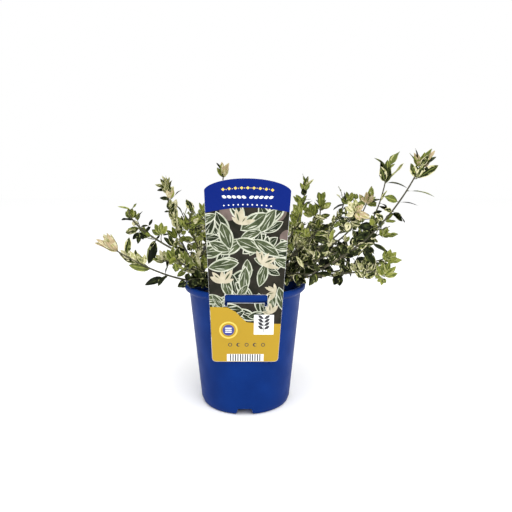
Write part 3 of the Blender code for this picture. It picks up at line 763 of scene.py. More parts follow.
    def picture(self) -> None:
        """The picture: a generic pattern of white-edged leaves and pale tufts on a dark ground."""
        draw = random.Random("card picture")
        self.lay_clipped("shade", rectangle(*self.PICTURE), 2 * self.PANEL)
        for x, y, radius in self.PATCHES:
            self.lay_clipped("ground", disc(x, y, radius, 16))
        for number in range(self.leaves):
            x, y = (draw.uniform(*ends) for ends in self.LEAF_PLACES)
            length, turn = draw.uniform(*self.LEAF_LENGTHS), draw.uniform(0, 360)
            green = "deep" if number < self.leaves * self.DEEP_SHARE else "leaf"
            self._printed_leaf(x, y, length, length * draw.uniform(*self.LEAF_HALVES), turn, green)
        for x, y, size, first in self.TUFTS:
            for petal in range(self.PETALS):
                turn = first + self.PETAL_TURN * petal + draw.uniform(-self.PETAL_CHANCE, self.PETAL_CHANCE)
                long, ray = size * draw.uniform(*self.PETAL_LENGTHS), math.radians(turn)
                middle = x + long / 2 * math.cos(ray), y + long / 2 * math.sin(ray)
                half = long * draw.uniform(*self.PETAL_HALVES)
                self.lay_clipped("cream", blade(*middle, long, half, turn, 8))
                if petal % 2:
                    streak = [long * share for share in self.PETAL_STREAK]
                    self.lay_clipped("leaf", blade(*middle, *streak, turn, 4))

    def _printed_leaf(self, x: float, y: float, length: float, half: float, turn: float, green: str) -> None:
        """One leaf of the picture: a pale edge, a green middle with pale streaks and a midrib."""
        c, s = math.cos(math.radians(turn)), math.sin(math.radians(turn))
        long, wide = self.GREEN_SHARES
        self.lay_clipped("margin", blade(x, y, length, half, turn, 10))
        self.lay_clipped(green, blade(x, y, length * long, half * wide, turn, 10))
        long, wide = self.MIDRIB_SHARES
        self.lay_clipped("margin", blade(x, y, length * long, half * wide, turn, 2))
        long, wide = self.STREAK_SHARES
        for side, along in self.STREAKS:
            px, py = x + c * along * length - s * side * half, y + s * along * length + c * side * half
            streak = blade(px, py, length * long, half * wide, turn + self.STREAK_TURN * side, 4)
            self.lay_clipped("margin", streak)

    def footer(self) -> None:
        """The yellow foot, with a swept upper edge, a plain badge, a sprig, symbols and stripes."""
        corner, low, half = self.corner, self.foot + self.bleed, self.foot_half - self.bleed
        right = [(half - corner * (1 - math.sin(t)), low + corner * (1 - math.cos(t)))
                 for t in np.linspace(0, math.pi / 2, 5)]
        left = [(-x, y) for x, y in reversed(right)]
        start = self.half_width(self.SWEEP_RIGHT), self.SWEEP_RIGHT
        end = self.SWEEP_IN - self.half_width(self.SWEEP_TURN), self.SWEEP_LEFT
        self.lay("foot", [*left, *right, start, *self.SWEEP, end], self.SHEET)
        x, y = self.BADGE
        for ring, radius in enumerate(self.BADGE_RINGS):
            self.lay(f"badge_{ring}", disc(x, y, radius, 36))
        for bar in (1, 0, -1):
            self.lay("badge_bars", rectangle(x, y + self.BADGE_STEP * bar, *self.BADGE_BAR))
        self.lay("square", rectangle(*self.SQUARE), self.PANEL)
        self.lay("sprig", rectangle(*self.STALK))
        for place, side in itertools.product(range(4), (-1, 1)):
            x = self.SQUARE[0] + self.SPRIG_OUT * side
            y = self.SQUARE[1] - self.SPRIG_DOWN + self.SPRIG_STEP * place
            self.lay("sprig", blade(x, y, *self.SPRIG_LEAF, 90 - self.SPRIG_TURN * side))
        for place in range(5):
            x, y = self.ICONS[0] + self.ICON_STEP * place, self.ICONS[1]
            ring, core = self.ICON_RADII
            self.lay("icons", disc(x, y, ring, 20))
            self.lay("icons_core", disc(x + self.ICON_SHIFT * (place % 2), y, core, 16))
        self.lay("box", rectangle(*self.BOX), self.PANEL)
        for place in range(-6, 7):
            self.lay("stripes", rectangle(self.STRIPE_STEP * place, self.BOX[1], *self.STRIPE))

    def header(self) -> None:
        """The dark blue head, with an arched lower edge and a generic garland."""
        lower, upper = [], []
        left, right, arch = self.HEAD_EDGE
        for share in np.linspace(0, 1, 21):
            height = left + (right - left) * share + arch * math.sin(math.pi * share)
            lower.append((self.half_width(height) * (2 * share - 1), height))
        flat, steep = self.HEAD_POWERS
        for turn in np.linspace(0, math.pi, 25):
            height = self.shoulder + (self.top - self.shoulder) * (1 - abs(math.cos(turn)) ** flat) ** steep
            upper.append(((self.head_half - self.bleed) * math.cos(turn), height - self.bleed))
        self.lay("head", lower + upper, self.SHEET)
        middle, bend = self.GARLAND
        wide, tall = self.DIAMOND
        for place in range(-4, 5):
            x = self.GARLAND_STEP * place
            y = middle - bend * x * x
            self.lay("head_gold", [(x, y - tall), (x + wide, y), (x, y + tall), (x - wide, y)])
            if place < 4:
                self.lay("head_gold", disc(x + self.GARLAND_STEP / 2, y - 0.1, self.BEAD, 8))
        for side, place in itertools.product((-1, 1), range(5)):
            x = side * (self.WHITE_START + self.WHITE_STEP * place)
            self.lay("head_white", blade(x, self.WHITE_ROW, *self.WHITE_LEAF, side * self.WHITE_TURN))
        middle, bend = self.DOTS
        for x in range(-25, 26, 5):
            self.lay("head_white", disc(x, middle - bend * x * x, self.DOT, 8))

    def build(self) -> int:
        """Dresses the CAD plate and lays the print on it.

        Returns:
            How many pieces the print has.
        """
        dress(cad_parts["picture_card"], CARD_WHITE)
        self.picture()
        self.footer()
        self.header()
        for name, (vertices, faces) in self.layers.items():
            piece = dress(mesh_piece(f"print_{name}", vertices, faces), PRINTS[name])
            piece.data.transform(card_matrix() @ Matrix.Scale(MM, 4))
            seat(piece, "card")
        return len(self.layers)


@dataclass(frozen=True)
class Shoot:
    """One shoot, from its leader to its furthest tip, as in the solids.

    place is the share of the leader that it leaves, and azimuth is in degrees. tip is how far out and how
    high it ends, and bend moves its middle up, out and to the left, all in millimetres. bare is the share of
    its length with no leaves. tips and body name the kinds of its leaves, one letter each, and fill is how
    much of its outer part the chance leaves take.
    """

    name: str
    leader: str
    place: float
    azimuth: float
    tip: tuple[float, float]
    bend: tuple[float, float, float]
    bare: float
    twigs: int
    size: float
    tips: str
    body: str
    fill: float


SHOOTS = (
    Shoot("far_left", "left", 0.57, 194, (171, 208), (-20, -4, -1), 0.36, 3, 1, "BP", "MDMGD", 0.04),
    Shoot("left_mid", "left", 0.72, 193, (135, 248), (9, 39, -6), 0.22, 3, 1, "FL", "DMDML", 0.15),
    Shoot("left_tall", "left", 0.65, 165, (109, 278), (-42, 6, 0), 0.3, 2, 0.92, "MB", "MMPDM", 0.15),
    Shoot("left_inner_tall", "left", 0.85, 185, (67, 255), (-13, 14, -6), 0, 3, 0.95, "LF", "LMFFLM", 1),
    Shoot("left_behind_card", "left", 0.92, 150, (65, 246), (1, 2, 2), 0, 3, 0.95, "LF", "LMFLFM", 1),
    Shoot("left_low_front", "left", 0.65, 218, (104, 202), (-5, 13, -5), 0, 3, 1, "LF", "MLLMFL", 0.95),
    Shoot("left_cream", "left", 0.49, 170, (117, 185), (-5, 9, 3), 0.3, 3, 0.95, "PL", "PLMLFP", 0.95),
    Shoot("left_rim", "left", 0.45, 215, (91, 162), (4, 4, 0), 0, 2, 1, "DM", "DDMG", 0.9),
    Shoot("card_top", "back", 0.84, 146, (30, 296), (0, 14, 4), 0.4, 1, 0.85, "BL", "LMP", 0),
    Shoot("right_near_card", "right", 0.92, 6, (75, 283), (-5, 12, -4), 0.26, 3, 0.88, "PL", "LMFFL", 0.6),
    Shoot("right_second", "right", 0.84, 25, (108, 261), (-25, 19, -7), 0.26, 3, 0.9, "FG", "MGMFF", 0.8),
    Shoot("right_cream", "right", 0.69, -17, (136, 251), (-3, 22, 10), 0.26, 4, 1, "PM", "PMGFM", 0.9),
    Shoot("right_back_rosette", "back", 0.6, 31, (161, 262), (-10, 33, -6), 0.36, 2, 0.9, "FL", "DMF", 0.75),
    Shoot("right_mid_rosette", "back", 0.69, 14, (168, 266), (-20, 32, -2), 0.36, 2, 0.95, "PL", "DMG", 0.75),
    Shoot("right_tall_left", "right", 0.61, 5, (178, 298), (-36, 33, -2), 0.44, 1, 1.05, "FG", "MFGD", 0),
    Shoot("right_tall_right", "right", 0.36, -14, (208, 306), (-28, 23, 2), 0.46, 1, 1.1, "BP", "DMDG", 0),
    Shoot("right_mid", "back", 0.33, 18, (213, 211), (-2, 5, 6), 0.36, 2, 0.95, "FF", "DDGDD", 0.95),
    Shoot("right_low_mid", "right", 0.42, 6, (196, 182), (-4, 13, 5), 0.36, 2, 1, "PM", "DDDG", 0.85),
    Shoot("right_lowest", "right", 0.5, -8, (177, 169), (2, 17, 6), 0.44, 2, 0.95, "PM", "MPDMD", 0.25),
    Shoot("right_inner_front", "right", 0.78, -32, (103, 230), (1, 12, 4), 0, 4, 1, "MP", "FMMGP", 1),
    Shoot("right_low_front", "right", 0.58, -33, (136, 202), (2, 4, 2), 0.26, 3, 1.05, "MD", "DMGMDD", 0.95),
    Shoot("right_rim", "right", 0.43, -36, (98, 166), (9, 7, 4), 0, 3, 1, "DM", "DDDMG", 0.9),
    Shoot("right_inner_low", "back", 0.43, 15, (130, 194), (1, -1, 0), 0, 3, 1, "DM", "DDDM", 1),
    Shoot("back_left", "left", 0.57, 123, (148, 214), (3, -3, 0), 0.28, 2, 1, "MF", "DMGM", 1),
    Shoot("back_centre_left", "back", 0.73, 105, (145, 243), (-5, 4, -3), 0.3, 2, 0.95, "PB", "MGMP", 1),
    Shoot("back_centre", "back", 0.54, 87, (160, 240), (-8, 5, 0), 0.34, 2, 1, "LF", "MDGM", 1),
    Shoot("back_centre_right", "back", 0.79, 71, (137, 244), (-4, 5, 2), 0, 2, 0.95, "MP", "MFMG", 1),
    Shoot("back_right", "back", 0.49, 51, (169, 217), (1, -1, 1), 0.32, 2, 1, "FM", "DMGM", 1),
    Shoot("back_low_left", "left", 0.36, 113, (163, 162), (10, 1, 2), 0.34, 2, 1, "DM", "DMGD", 1),
    Shoot("back_low_right", "back", 0.29, 66, (175, 164), (10, -1, 2), 0.34, 2, 1, "MP", "DGMD", 1),
    Shoot("centre_tall", "back", 0.96, -67, (13, 258), (2, 0, 2), 0, 2, 0.95, "ML", "MMPF", 1),
    Shoot("front_left", "left", 0.75, 250, (50, 214), (2, 2, 0), 0, 3, 0.95, "MD", "DMGD", 1),
    Shoot("front_right", "right", 0.66, -80, (50, 226), (2, 0, 0), 0, 3, 0.95, "MP", "DMMG", 1),
)


class LeafKind(Enum):
    """How a leaf is coloured, by the letter that the shoots and the fans use."""

    MARGINED = "G"
    MOTTLED = "M"
    PALE = "P"
    LIME = "L"
    BLUSH = "B"
    DARK = "D"
    FRESH = "F"


@dataclass(frozen=True)
class Fan:
    """Leaves that spread from one place of a shoot, as the photograph shows them.

    share is the place on the stem and middle the fan's direction in degrees. Each letter of kinds is a
    leaf, from the left one to the right one, over spread degrees. length and width are in millimetres, and
    so are the steps to the right and up that twig leads from the stem, and droop, by which tips hang.
    """

    share: float
    middle: float
    kinds: str
    length: float
    width: float
    spread: float = 0.0
    twig: tuple[float, float] = (0.0, 0.0)
    droop: float = 0.0

    OUTER_SHORTER = 0.16

    def leaves(self) -> list[tuple[float, float, LeafKind]]:
        """The direction, the length and the kind of each leaf."""
        last = len(self.kinds) - 1
        shorter = self.OUTER_SHORTER if last > 1 else 0.0
        found = []
        for number, letter in enumerate(self.kinds):
            place = 2 * number / last - 1 if last else 0.0
            turn = math.radians(self.middle - self.spread * place / 2)
            found.append((turn, self.length * (1 - shorter * place ** 2) * MM, LeafKind(letter)))
        return found


FANS = {
    "far_left": (
        Fan(0.985, 153, "BB", 29, 4.5, 8), Fan(0.985, 129, "PBPBP", 27, 5, 28),
        Fan(0.985, 137, "BBB", 19, 5, 32), Fan(0.925, 82, "G", 23, 7.5), Fan(0.88, 143, "P", 18, 6),
        Fan(0.85, 150, "M", 23, 7), Fan(0.85, 107, "PM", 15, 5, 22), Fan(0.82, 148, "PM", 22, 6.5, 16),
        Fan(0.79, 109, "PPP", 17, 5.5, 54), Fan(0.72, 171, "F", 28, 8.5, droop=1),
        Fan(0.6, -152, "D", 26, 8, twig=(-2, -2)), Fan(0.6, 69, "D", 15, 1.5, twig=(-2, -2), droop=2),
        Fan(0.42, -148, "D", 12, 9, twig=(0, -2)), Fan(0.31, 155, "D", 13, 9),
        Fan(0.3, 125, "D", 16, 8, twig=(0, -5)),
    ),
    "left_mid": (
        Fan(0.99, 50, "F", 10, 2, twig=(3, 1)), Fan(0.99, 166, "L", 17, 2, twig=(3, 1), droop=-2),
        Fan(0.82, 94, "FFLF", 13, 6.5, 60), Fan(0.76, 178, "D", 17, 2, twig=(1, 2), droop=-1),
        Fan(0.76, 47, "D", 14, 2.5, twig=(1, 2)), Fan(0.66, -159, "F", 17, 3.5, droop=5),
        Fan(0.66, 12, "D", 10, 2, droop=2), Fan(0.62, -92, "DDD", 15, 5, 68, twig=(-4, -2)),
        Fan(0.59, 0, "DF", 10, 4, 72), Fan(0.57, 57, "D", 10, 3, twig=(2, 8), droop=-1),
        Fan(0.53, 143, "F", 17, 5.5), Fan(0.47, -102, "D", 32, 10, droop=1), Fan(0.47, -123, "M", 16, 5),
        Fan(0.47, 34, "D", 8, 2.5, droop=2), Fan(0.42, 105, "FLLL", 16, 6.5, 90, twig=(0, 9)),
        Fan(0.42, 3, "D", 10, 2, twig=(0, 9), droop=1), Fan(0.32, 124, "DM", 17, 5, 27, twig=(0, 3)),
        Fan(0.18, 70, "P", 12, 4.5, twig=(4, 2)),
    ),
    "left_tall": (
        Fan(0.97, 158, "M", 17, 4, twig=(-2, 19)), Fan(0.97, -175, "D", 13, 4, twig=(-2, 19)),
        Fan(0.97, 105, "PMPM", 16, 4, 90, twig=(-2, 19)), Fan(0.97, 101, "PMMP", 19, 2.5, 45, twig=(-2, 19)),
        Fan(0.98, 100, "MPMP", 14, 5, 80, twig=(1, 11)), Fan(0.98, 92, "BMB", 16, 5, 44, twig=(3, 4)),
        Fan(0.98, 169, "D", 14, 4.5, twig=(3, 4)), Fan(0.98, 37, "D", 21, 2.5, twig=(3, 4)),
        Fan(0.93, 90, "MPM", 15, 5.5, 48), Fan(0.91, 92, "MP", 17, 6.5, 30, twig=(2, 3)),
        Fan(0.91, 177, "D", 12, 2.5, twig=(2, 3)), Fan(0.88, 94, "MMM", 16, 5.5, 38),
        Fan(0.86, 96, "MP", 18, 6.5, 30), Fan(0.83, 121, "D", 19, 1.5, twig=(10, 13)),
        Fan(0.83, 71, "P", 20, 1.5, twig=(10, 13), droop=-2),
        Fan(0.83, 104, "LLMF", 12, 4.5, 90, twig=(8, 3)), Fan(0.82, 95, "PMM", 16, 5.5, 40),
        Fan(0.77, 90, "MM", 16, 5.5, 20), Fan(0.77, 38, "L", 9, 5.5, twig=(2, 1)),
        Fan(0.73, 118, "FF", 18, 5, 25, twig=(-6, 1)), Fan(0.61, 115, "M", 12, 7, twig=(5, 3)),
    ),
    "left_inner_tall": (
        Fan(0.97, 114, "G", 19, 7.5, twig=(5, 5)), Fan(0.97, 138, "D", 8, 3.5, twig=(5, 5)),
        Fan(0.89, 41, "L", 17, 4, twig=(-6, -1)), Fan(0.89, 34, "P", 11, 5.5, twig=(3, 0)),
        Fan(0.8, 82, "LFLF", 20, 5.5, 107, twig=(-5, 1)), Fan(0.75, 40, "F", 21, 4.5, twig=(-5, 2)),
        Fan(0.75, 120, "L", 15, 5.5, twig=(-5, 2)), Fan(0.52, 67, "L", 11, 5.5, twig=(-7, -4)),
        Fan(0.49, 86, "LM", 13, 6, 22),
    ),
    "left_behind_card": (
        Fan(0.97, 90, "LL", 14, 4, 27, twig=(-3, 4)),
    ),
    "left_cream": (
        Fan(0.94, 142, "PPPP", 16, 5.5, 90), Fan(0.94, -72, "D", 11, 2.5, droop=2),
        Fan(0.81, -54, "L", 9, 5), Fan(0.73, -111, "L", 9, 6.5, twig=(1, 2)), Fan(0.57, -148, "F", 14, 4.5),
    ),
    "left_low_front": (
        Fan(0.87, 96, "FM", 17, 8.5, 41, twig=(-4, -2)), Fan(0.87, -75, "F", 11, 5.5, twig=(-4, -2)),
        Fan(0.64, -138, "F", 16, 3), Fan(0.64, 99, "L", 20, 7), Fan(0.37, 144, "L", 24, 6, twig=(-1, 5)),
        Fan(0.37, 106, "P", 17, 5, twig=(-1, 5)), Fan(0.32, 153, "P", 12, 5),
    ),
    "left_rim": (
        Fan(0.97, -152, "D", 13, 6.5, twig=(-5, -2)), Fan(0.97, 69, "D", 10, 7, twig=(-5, -2)),
        Fan(0.94, -70, "DD", 10, 8, 60), Fan(0.84, -95, "DDD", 10, 7.5, 90),
        Fan(0.78, 92, "DDM", 13, 8, 100), Fan(0.72, 142, "DD", 13, 7, 75, twig=(-2, -6)),
        Fan(0.66, -90, "DDD", 12, 8, 90), Fan(0.56, -80, "DMD", 12, 8, 90),
    ),
    "card_top": (
        Fan(0.99, 84, "BB", 18, 5, 28), Fan(0.97, 90, "FFBBP", 18, 4.5, 64), Fan(0.97, 76, "D", 7, 4.5),
        Fan(0.98, 89, "DP", 13, 2, 74, twig=(-1, 7)),
    ),
    "right_near_card": (
        Fan(1, 99, "F", 17, 3.5), Fan(1, 62, "MP", 14, 3, 25), Fan(0.95, 92, "LFF", 15, 4.5, 52),
        Fan(0.9, 108, "F", 17, 3.5), Fan(0.9, 104, "D", 10, 6), Fan(0.9, 70, "D", 8, 2.5),
        Fan(0.83, 140, "F", 13, 5), Fan(0.79, 91, "FF", 13, 4, 78, twig=(-3, 2)),
        Fan(0.72, 100, "LFF", 16, 5.5, 80), Fan(0.66, 100, "LL", 16, 5.5, 39),
        Fan(0.62, 112, "FLF", 16, 6, 72), Fan(0.55, 93, "LF", 15, 5.5, 46), Fan(0.55, -65, "D", 12, 7.5),
        Fan(0.5, 90, "FLM", 16, 6, 80), Fan(0.42, 92, "LMF", 16, 6, 125),
        Fan(0.33, 83, "M", 16, 4.5, twig=(5, -3)),
    ),
    "right_second": (
        Fan(1, 93, "FL", 13, 6.5, 36, twig=(1, 7)), Fan(0.99, 88, "FF", 21, 6.5, 19),
        Fan(0.99, 88, "FF", 13, 2.5, 67), Fan(0.99, 26, "L", 15, 5.5),
        Fan(0.97, 39, "L", 14, 6, twig=(3, 1)), Fan(0.92, 110, "LFL", 17, 6, 63, twig=(-10, 1)),
        Fan(0.91, -174, "M", 9, 4.5), Fan(0.91, 13, "F", 14, 5.5), Fan(0.9, 170, "M", 19, 6, twig=(10, -1)),
        Fan(0.88, 121, "LFFF", 18, 7, 82, twig=(-7, 5)), Fan(0.86, -139, "F", 10, 4, twig=(-8, 1), droop=2),
        Fan(0.85, -138, "D", 16, 4, twig=(-3, 3), droop=4), Fan(0.79, -159, "D", 20, 6.5, twig=(20, 6)),
        Fan(0.79, 87, "M", 13, 4.5, twig=(20, 6)), Fan(0.78, 86, "MFM", 15, 6.5, 96),
    ),
    "right_inner_front": (
        Fan(0.97, 162, "D", 9, 3, twig=(3, 2)), Fan(0.83, 160, "D", 19, 8, twig=(20, -6)),
        Fan(0.83, 74, "L", 16, 3.5, twig=(20, -6)), Fan(0.77, 100, "MLL", 11, 4.5, 93, twig=(-4, 3)),
        Fan(0.75, 105, "LLLL", 11, 3.5, 121, twig=(-3, 5)), Fan(0.72, 174, "M", 10, 5, twig=(-3, 3)),
        Fan(0.5, 76, "P", 16, 4.5, twig=(-5, 6)),
    ),
    "right_back_rosette": (
        Fan(0.96, 77, "F", 9, 6, twig=(15, 3)), Fan(0.96, -166, "F", 11, 5, twig=(9, 1)),
        Fan(0.96, 85, "FL", 11, 4.5, 55, twig=(6, 4)), Fan(0.94, 96, "D", 19, 4, twig=(3, 0)),
        Fan(0.94, 51, "LF", 19, 6, 14, twig=(3, 0)), Fan(0.94, 146, "F", 12, 5.5, twig=(3, 0)),
        Fan(0.94, 135, "P", 19, 1.5, twig=(3, 0), droop=-1),
        Fan(0.94, -154, "D", 21, 3, twig=(3, 0), droop=5), Fan(0.34, -163, "D", 15, 8.5),
    ),
    "right_cream": (
        Fan(1, 104, "PPPB", 16, 6.5, 108), Fan(1, -18, "B", 19, 7), Fan(1, -57, "B", 12, 6),
        Fan(1, -152, "P", 11, 6), Fan(1, 77, "L", 8, 3.5), Fan(0.88, 3, "DM", 15, 5.5, 46),
        Fan(0.88, -149, "MM", 13, 7, 67), Fan(0.75, 125, "M", 10, 5.5, twig=(2, -2)),
        Fan(0.58, 166, "G", 17, 7.5, twig=(2, -2)), Fan(0.47, 119, "M", 13, 5.5, twig=(-2, 4)),
        Fan(0.4, 130, "MM", 14, 6, 35),
    ),
    "right_mid_rosette": (
        Fan(1, 97, "L", 14, 4.5, twig=(5, 1)), Fan(0.96, 160, "B", 13, 7, twig=(4, 3)),
        Fan(0.96, -35, "F", 11, 6, twig=(4, 3)), Fan(0.96, 63, "M", 10, 6, twig=(0, 5)),
        Fan(0.95, 75, "L", 25, 4), Fan(0.95, 88, "FBBBF", 17, 6, 160), Fan(0.95, 20, "D", 20, 3.5, droop=5),
        Fan(0.72, 52, "M", 10, 6, twig=(2, -2)), Fan(0.69, 111, "MM", 14, 7.5, 16),
        Fan(0.62, 68, "PL", 10, 4.5, 34, twig=(4, -6)), Fan(0.56, -25, "G", 13, 7, twig=(3, -3)),
        Fan(0.42, 53, "M", 11, 4.5),
    ),
    "right_tall_left": (
        Fan(1, 93, "DF", 24, 8, 24), Fan(0.99, 99, "DDD", 21, 8, 46), Fan(0.98, 113, "G", 24, 9.5),
        Fan(0.98, 61, "D", 16, 5), Fan(0.98, 46, "P", 32, 1.5, droop=-2),
        Fan(0.98, -17, "D", 27, 3, droop=7), Fan(0.97, 138, "F", 22, 4.5, twig=(3, 19), droop=3),
        Fan(0.97, 57, "L", 28, 5, twig=(3, 19)), Fan(0.97, 36, "L", 12, 2.5, twig=(3, 19)),
        Fan(0.87, -46, "D", 15, 3, droop=5), Fan(0.87, 61, "P", 18, 1.5),
        Fan(0.85, -26, "D", 13, 3.5, droop=4), Fan(0.8, 8, "D", 12, 4, twig=(-3, 2)),
        Fan(0.46, 62, "DMD", 15, 7.5, 100), Fan(0.4, 153, "F", 9, 4.5), Fan(0.39, 48, "DDM", 15, 7.5, 90),
        Fan(0.32, 44, "DDD", 15, 7.5, 90),
    ),
    "right_tall_right": (
        Fan(1, 53, "LB", 21, 5, 8, twig=(3, 6)), Fan(1, 129, "F", 21, 3, twig=(1, 3)),
        Fan(1, 108, "B", 18, 4.5, twig=(1, 3)), Fan(1, 76, "BBLMB", 18, 5.5, 90, twig=(1, 3)),
        Fan(1, 68, "DD", 22, 2.5, 67, twig=(1, 3)), Fan(1, 43, "D", 11, 5, twig=(1, 3)),
        Fan(0.96, 115, "G", 19, 7, twig=(3, 0)), Fan(0.96, 33, "G", 27, 8, twig=(3, 0)),
        Fan(0.96, 71, "FMD", 18, 6, 54, twig=(3, 0)), Fan(0.9, -17, "F", 28, 1.5, twig=(3, 0), droop=5),
        Fan(0.84, 159, "F", 19, 7.5), Fan(0.84, -14, "D", 21, 2.5, droop=3),
        Fan(0.79, -48, "D", 19, 3, droop=5), Fan(0.79, 173, "M", 13, 5),
        Fan(0.78, -41, "D", 16, 4.5, droop=4), Fan(0.73, 18, "FF", 13, 4, 50), Fan(0.73, 141, "M", 13, 6),
        Fan(0.68, 103, "LFM", 13, 6, 55, twig=(-3, 3)), Fan(0.68, -171, "D", 20, 9.5, twig=(-3, 3)),
        Fan(0.65, -151, "D", 21, 8.5, twig=(-2, 2)), Fan(0.61, 62, "GDM", 15, 7, 76),
        Fan(0.57, -32, "D", 12, 6.5, twig=(5, -4), droop=2), Fan(0.54, 58, "MDG", 16, 7.5, 84),
        Fan(0.57, -67, "D", 22, 7.5, twig=(5, -4)), Fan(0.47, 56, "DMD", 16, 7.5, 90),
        Fan(0.46, 17, "G", 11, 5.5), Fan(0.46, -98, "D", 11, 5.5),
        Fan(0.44, -75, "D", 11, 5.5, twig=(4, -6)), Fan(0.4, 60, "MDM", 15, 7, 96),
        Fan(0.4, 122, "D", 9, 6.5, twig=(2, -4)),
    ),
    "right_mid": (
        Fan(0.96, 68, "LLL", 16, 6, 95, twig=(4, -4)), Fan(0.96, 10, "F", 22, 4, twig=(4, -4), droop=-1),
        Fan(0.88, 138, "M", 16, 11, twig=(8, -8)), Fan(0.87, 146, "DDD", 27, 10, 67, twig=(5, -5)),
        Fan(0.87, -37, "D", 28, 7, twig=(5, -5)), Fan(0.79, -27, "D", 18, 5, twig=(6, -6), droop=5),
        Fan(0.79, -60, "D", 24, 8, twig=(6, -6)), Fan(0.79, -142, "D", 19, 7, twig=(6, -6)),
        Fan(0.71, -42, "G", 13, 7.5, twig=(0, 2)), Fan(0.66, 62, "DDG", 15, 7.5, 90),
        Fan(0.58, 50, "DMD", 15, 7.5, 90), Fan(0.71, -163, "M", 19, 7.5, twig=(0, 2)),
    ),
    "right_low_mid": (
        Fan(0.96, 60, "LLLL", 19, 7.5, 78, twig=(3, -4)), Fan(0.96, 5, "L", 22, 5, twig=(3, -4)),
        Fan(0.7, -77, "DDD", 13, 5, 115, twig=(1, 6)), Fan(0.7, -51, "D", 11, 6, twig=(-1, 5)),
        Fan(0.47, -45, "F", 9, 4.5, twig=(-1, 4)), Fan(0.37, -94, "FD", 15, 5, 26, twig=(0, 5)),
        Fan(0.32, 135, "D", 10, 7),
    ),
    "right_lowest": (
        Fan(0.97, 72, "LLFLL", 20, 6.5, 104, twig=(5, -7)), Fan(0.97, -104, "FLL", 9, 5, 84, twig=(3, -8)),
        Fan(0.97, 172, "L", 10, 4, twig=(3, -8)), Fan(0.89, 82, "P", 18, 6, twig=(4, -10)),
        Fan(0.88, 96, "LM", 20, 5, 34), Fan(0.84, 93, "MMG", 18, 5.5, 43), Fan(0.8, 93, "PMM", 17, 6, 65),
        Fan(0.76, 83, "MMM", 20, 7, 105, twig=(4, -8)), Fan(0.72, 90, "PMM", 16, 6.5, 60),
        Fan(0.68, 110, "M", 14, 6), Fan(0.56, -96, "DD", 15, 8.5, 30),
    ),
    "right_low_front": (
        Fan(0.75, 142, "P", 11, 4, twig=(-1, 3)), Fan(0.68, -66, "D", 12, 4, twig=(1, -2)),
        Fan(0.43, 21, "M", 8, 5.5, twig=(1, -4)),
    ),
    "right_rim": (
        Fan(0.93, -118, "D", 17, 7, twig=(13, 1)), Fan(0.93, -74, "F", 10, 4, twig=(13, 1)),
        Fan(0.93, -5, "D", 19, 3.5, twig=(13, 1)), Fan(0.92, 122, "P", 18, 4.5, twig=(1, 6)),
    ),
}

PICTURE_TILT = math.radians(9.06)
PICTURE_RIGHT = Vector((1.0, 0.0, 0.0))
PICTURE_UP = Vector((0.0, math.sin(PICTURE_TILT), math.cos(PICTURE_TILT)))
PICTURE_NEAR = Vector((0.0, -math.cos(PICTURE_TILT), math.sin(PICTURE_TILT)))
CAMERA_PLACE = Vector((0.0134, -0.6137, 0.2810))
VIEW_CENTRE = 256.0
VIEW_FOCUS = 500.0

# Gaps that the photograph shows between the shoots: each is round, by its middle and its radius in pixels.
OPENINGS = {
    "beside the middle left shoot": ((122, 213, 4), (145, 216, 4), (158, 211, 6), (164, 205, 3.5)),
    "left of the tall left shoot's foot": ((170, 225, 3), (155, 235, 2), (171, 239, 2.5)),
    "right of the tall left shoot": ((183, 203, 4),),
    "between the far left and the middle left shoots": ((118, 236, 6), (134, 245, 5), (143, 246, 4)),
    "under the middle left shoot": ((158, 248, 3), (165, 247, 4)),
    "over the far left shoot": (
        (157, 267, 4.5), (155, 273, 3), (169, 271, 4), (182, 271, 2.5), (184, 276, 3.5)),
    "below the far left shoot": ((168, 290, 10),),
    "over the shoots right of the card": (
        (313, 188, 5), (306, 216, 4.5), (326, 212, 2.5), (326, 221, 3)),
    "left of the back rosettes": ((333, 195, 6), (336, 202, 4.5)),
    "over the back rosettes": ((351, 182, 10), (362, 184, 9)),
    "right of the cream rosette": ((365, 208, 3), (367, 223, 3)),
    "under the cream rosette": ((336, 234, 3), (343, 237, 2.5), (352, 236, 2)),
    "between the two tall right shoots": ((390, 204, 4), (392, 190, 3), (409, 172, 4)),
    "right of the crown": ((398, 227, 6), (385, 243, 4.5), (391, 243, 6), (379, 254, 3.5)),
    "over the lowest right shoot": ((334, 270, 2.5), (352, 269, 3), (361, 267, 2), (372, 285, 4)),
    "below the lowest right shoot": ((316, 292, 8), (325, 287, 8), (351, 288, 10)),
}

LEADER_TIPS = {
    "left": Vector((-0.0260, 0.0010, 0.1760)),
    "right": Vector((0.0260, -0.0040, 0.1780)),
    "back": Vector((0.0030, 0.0240, 0.1770)),
}


@dataclass(frozen=True)
class Growth:
    """The sizes that the stem, the limbs and the twigs grow by, in metres."""

    foot_radius: float = 0.0095
    stem_radius: float = 0.0062
    flare_height: float = 0.0035
    fork_height: float = 0.0075
    leader_root: float = 0.0044
    leader_tip: float = 0.0026
    limb_root: float = 0.0014
    limb_tip: float = 0.0010
    mass_tip: float = 0.0006
    tip_reach: float = 0.0170
    leaf_length: float = 0.0205
    internode: float = 0.0082
    stoutness: float = 1.30
    twig_radius: float = 0.0007


GROWTH = Growth()


def bezier(start: Vector, control: Vector, end: Vector, share: float) -> Vector:
    """A point of a quadratic curve."""
    rest = 1 - share
    return start * rest * rest + control * (2 * rest * share) + end * (share * share)


def leader_point(name: str, share: float) -> Vector:
    """The middle of a leader, from the fork at 0 to its tip at 1."""
    tip = LEADER_TIPS[name]
    fork = Vector((0, 0, COMPOST_TOP + GROWTH.fork_height * 0.5))
    bend = Vector((0.75 * tip.x, 0.75 * tip.y, fork.z + 0.30 * (tip.z - fork.z)))
    return bezier(fork, bend, tip, share)


def leader_radius(share: float) -> float:
    """A leader's radius at a share of its way."""
    return GROWTH.leader_root + (GROWTH.leader_tip - GROWTH.leader_root) * share


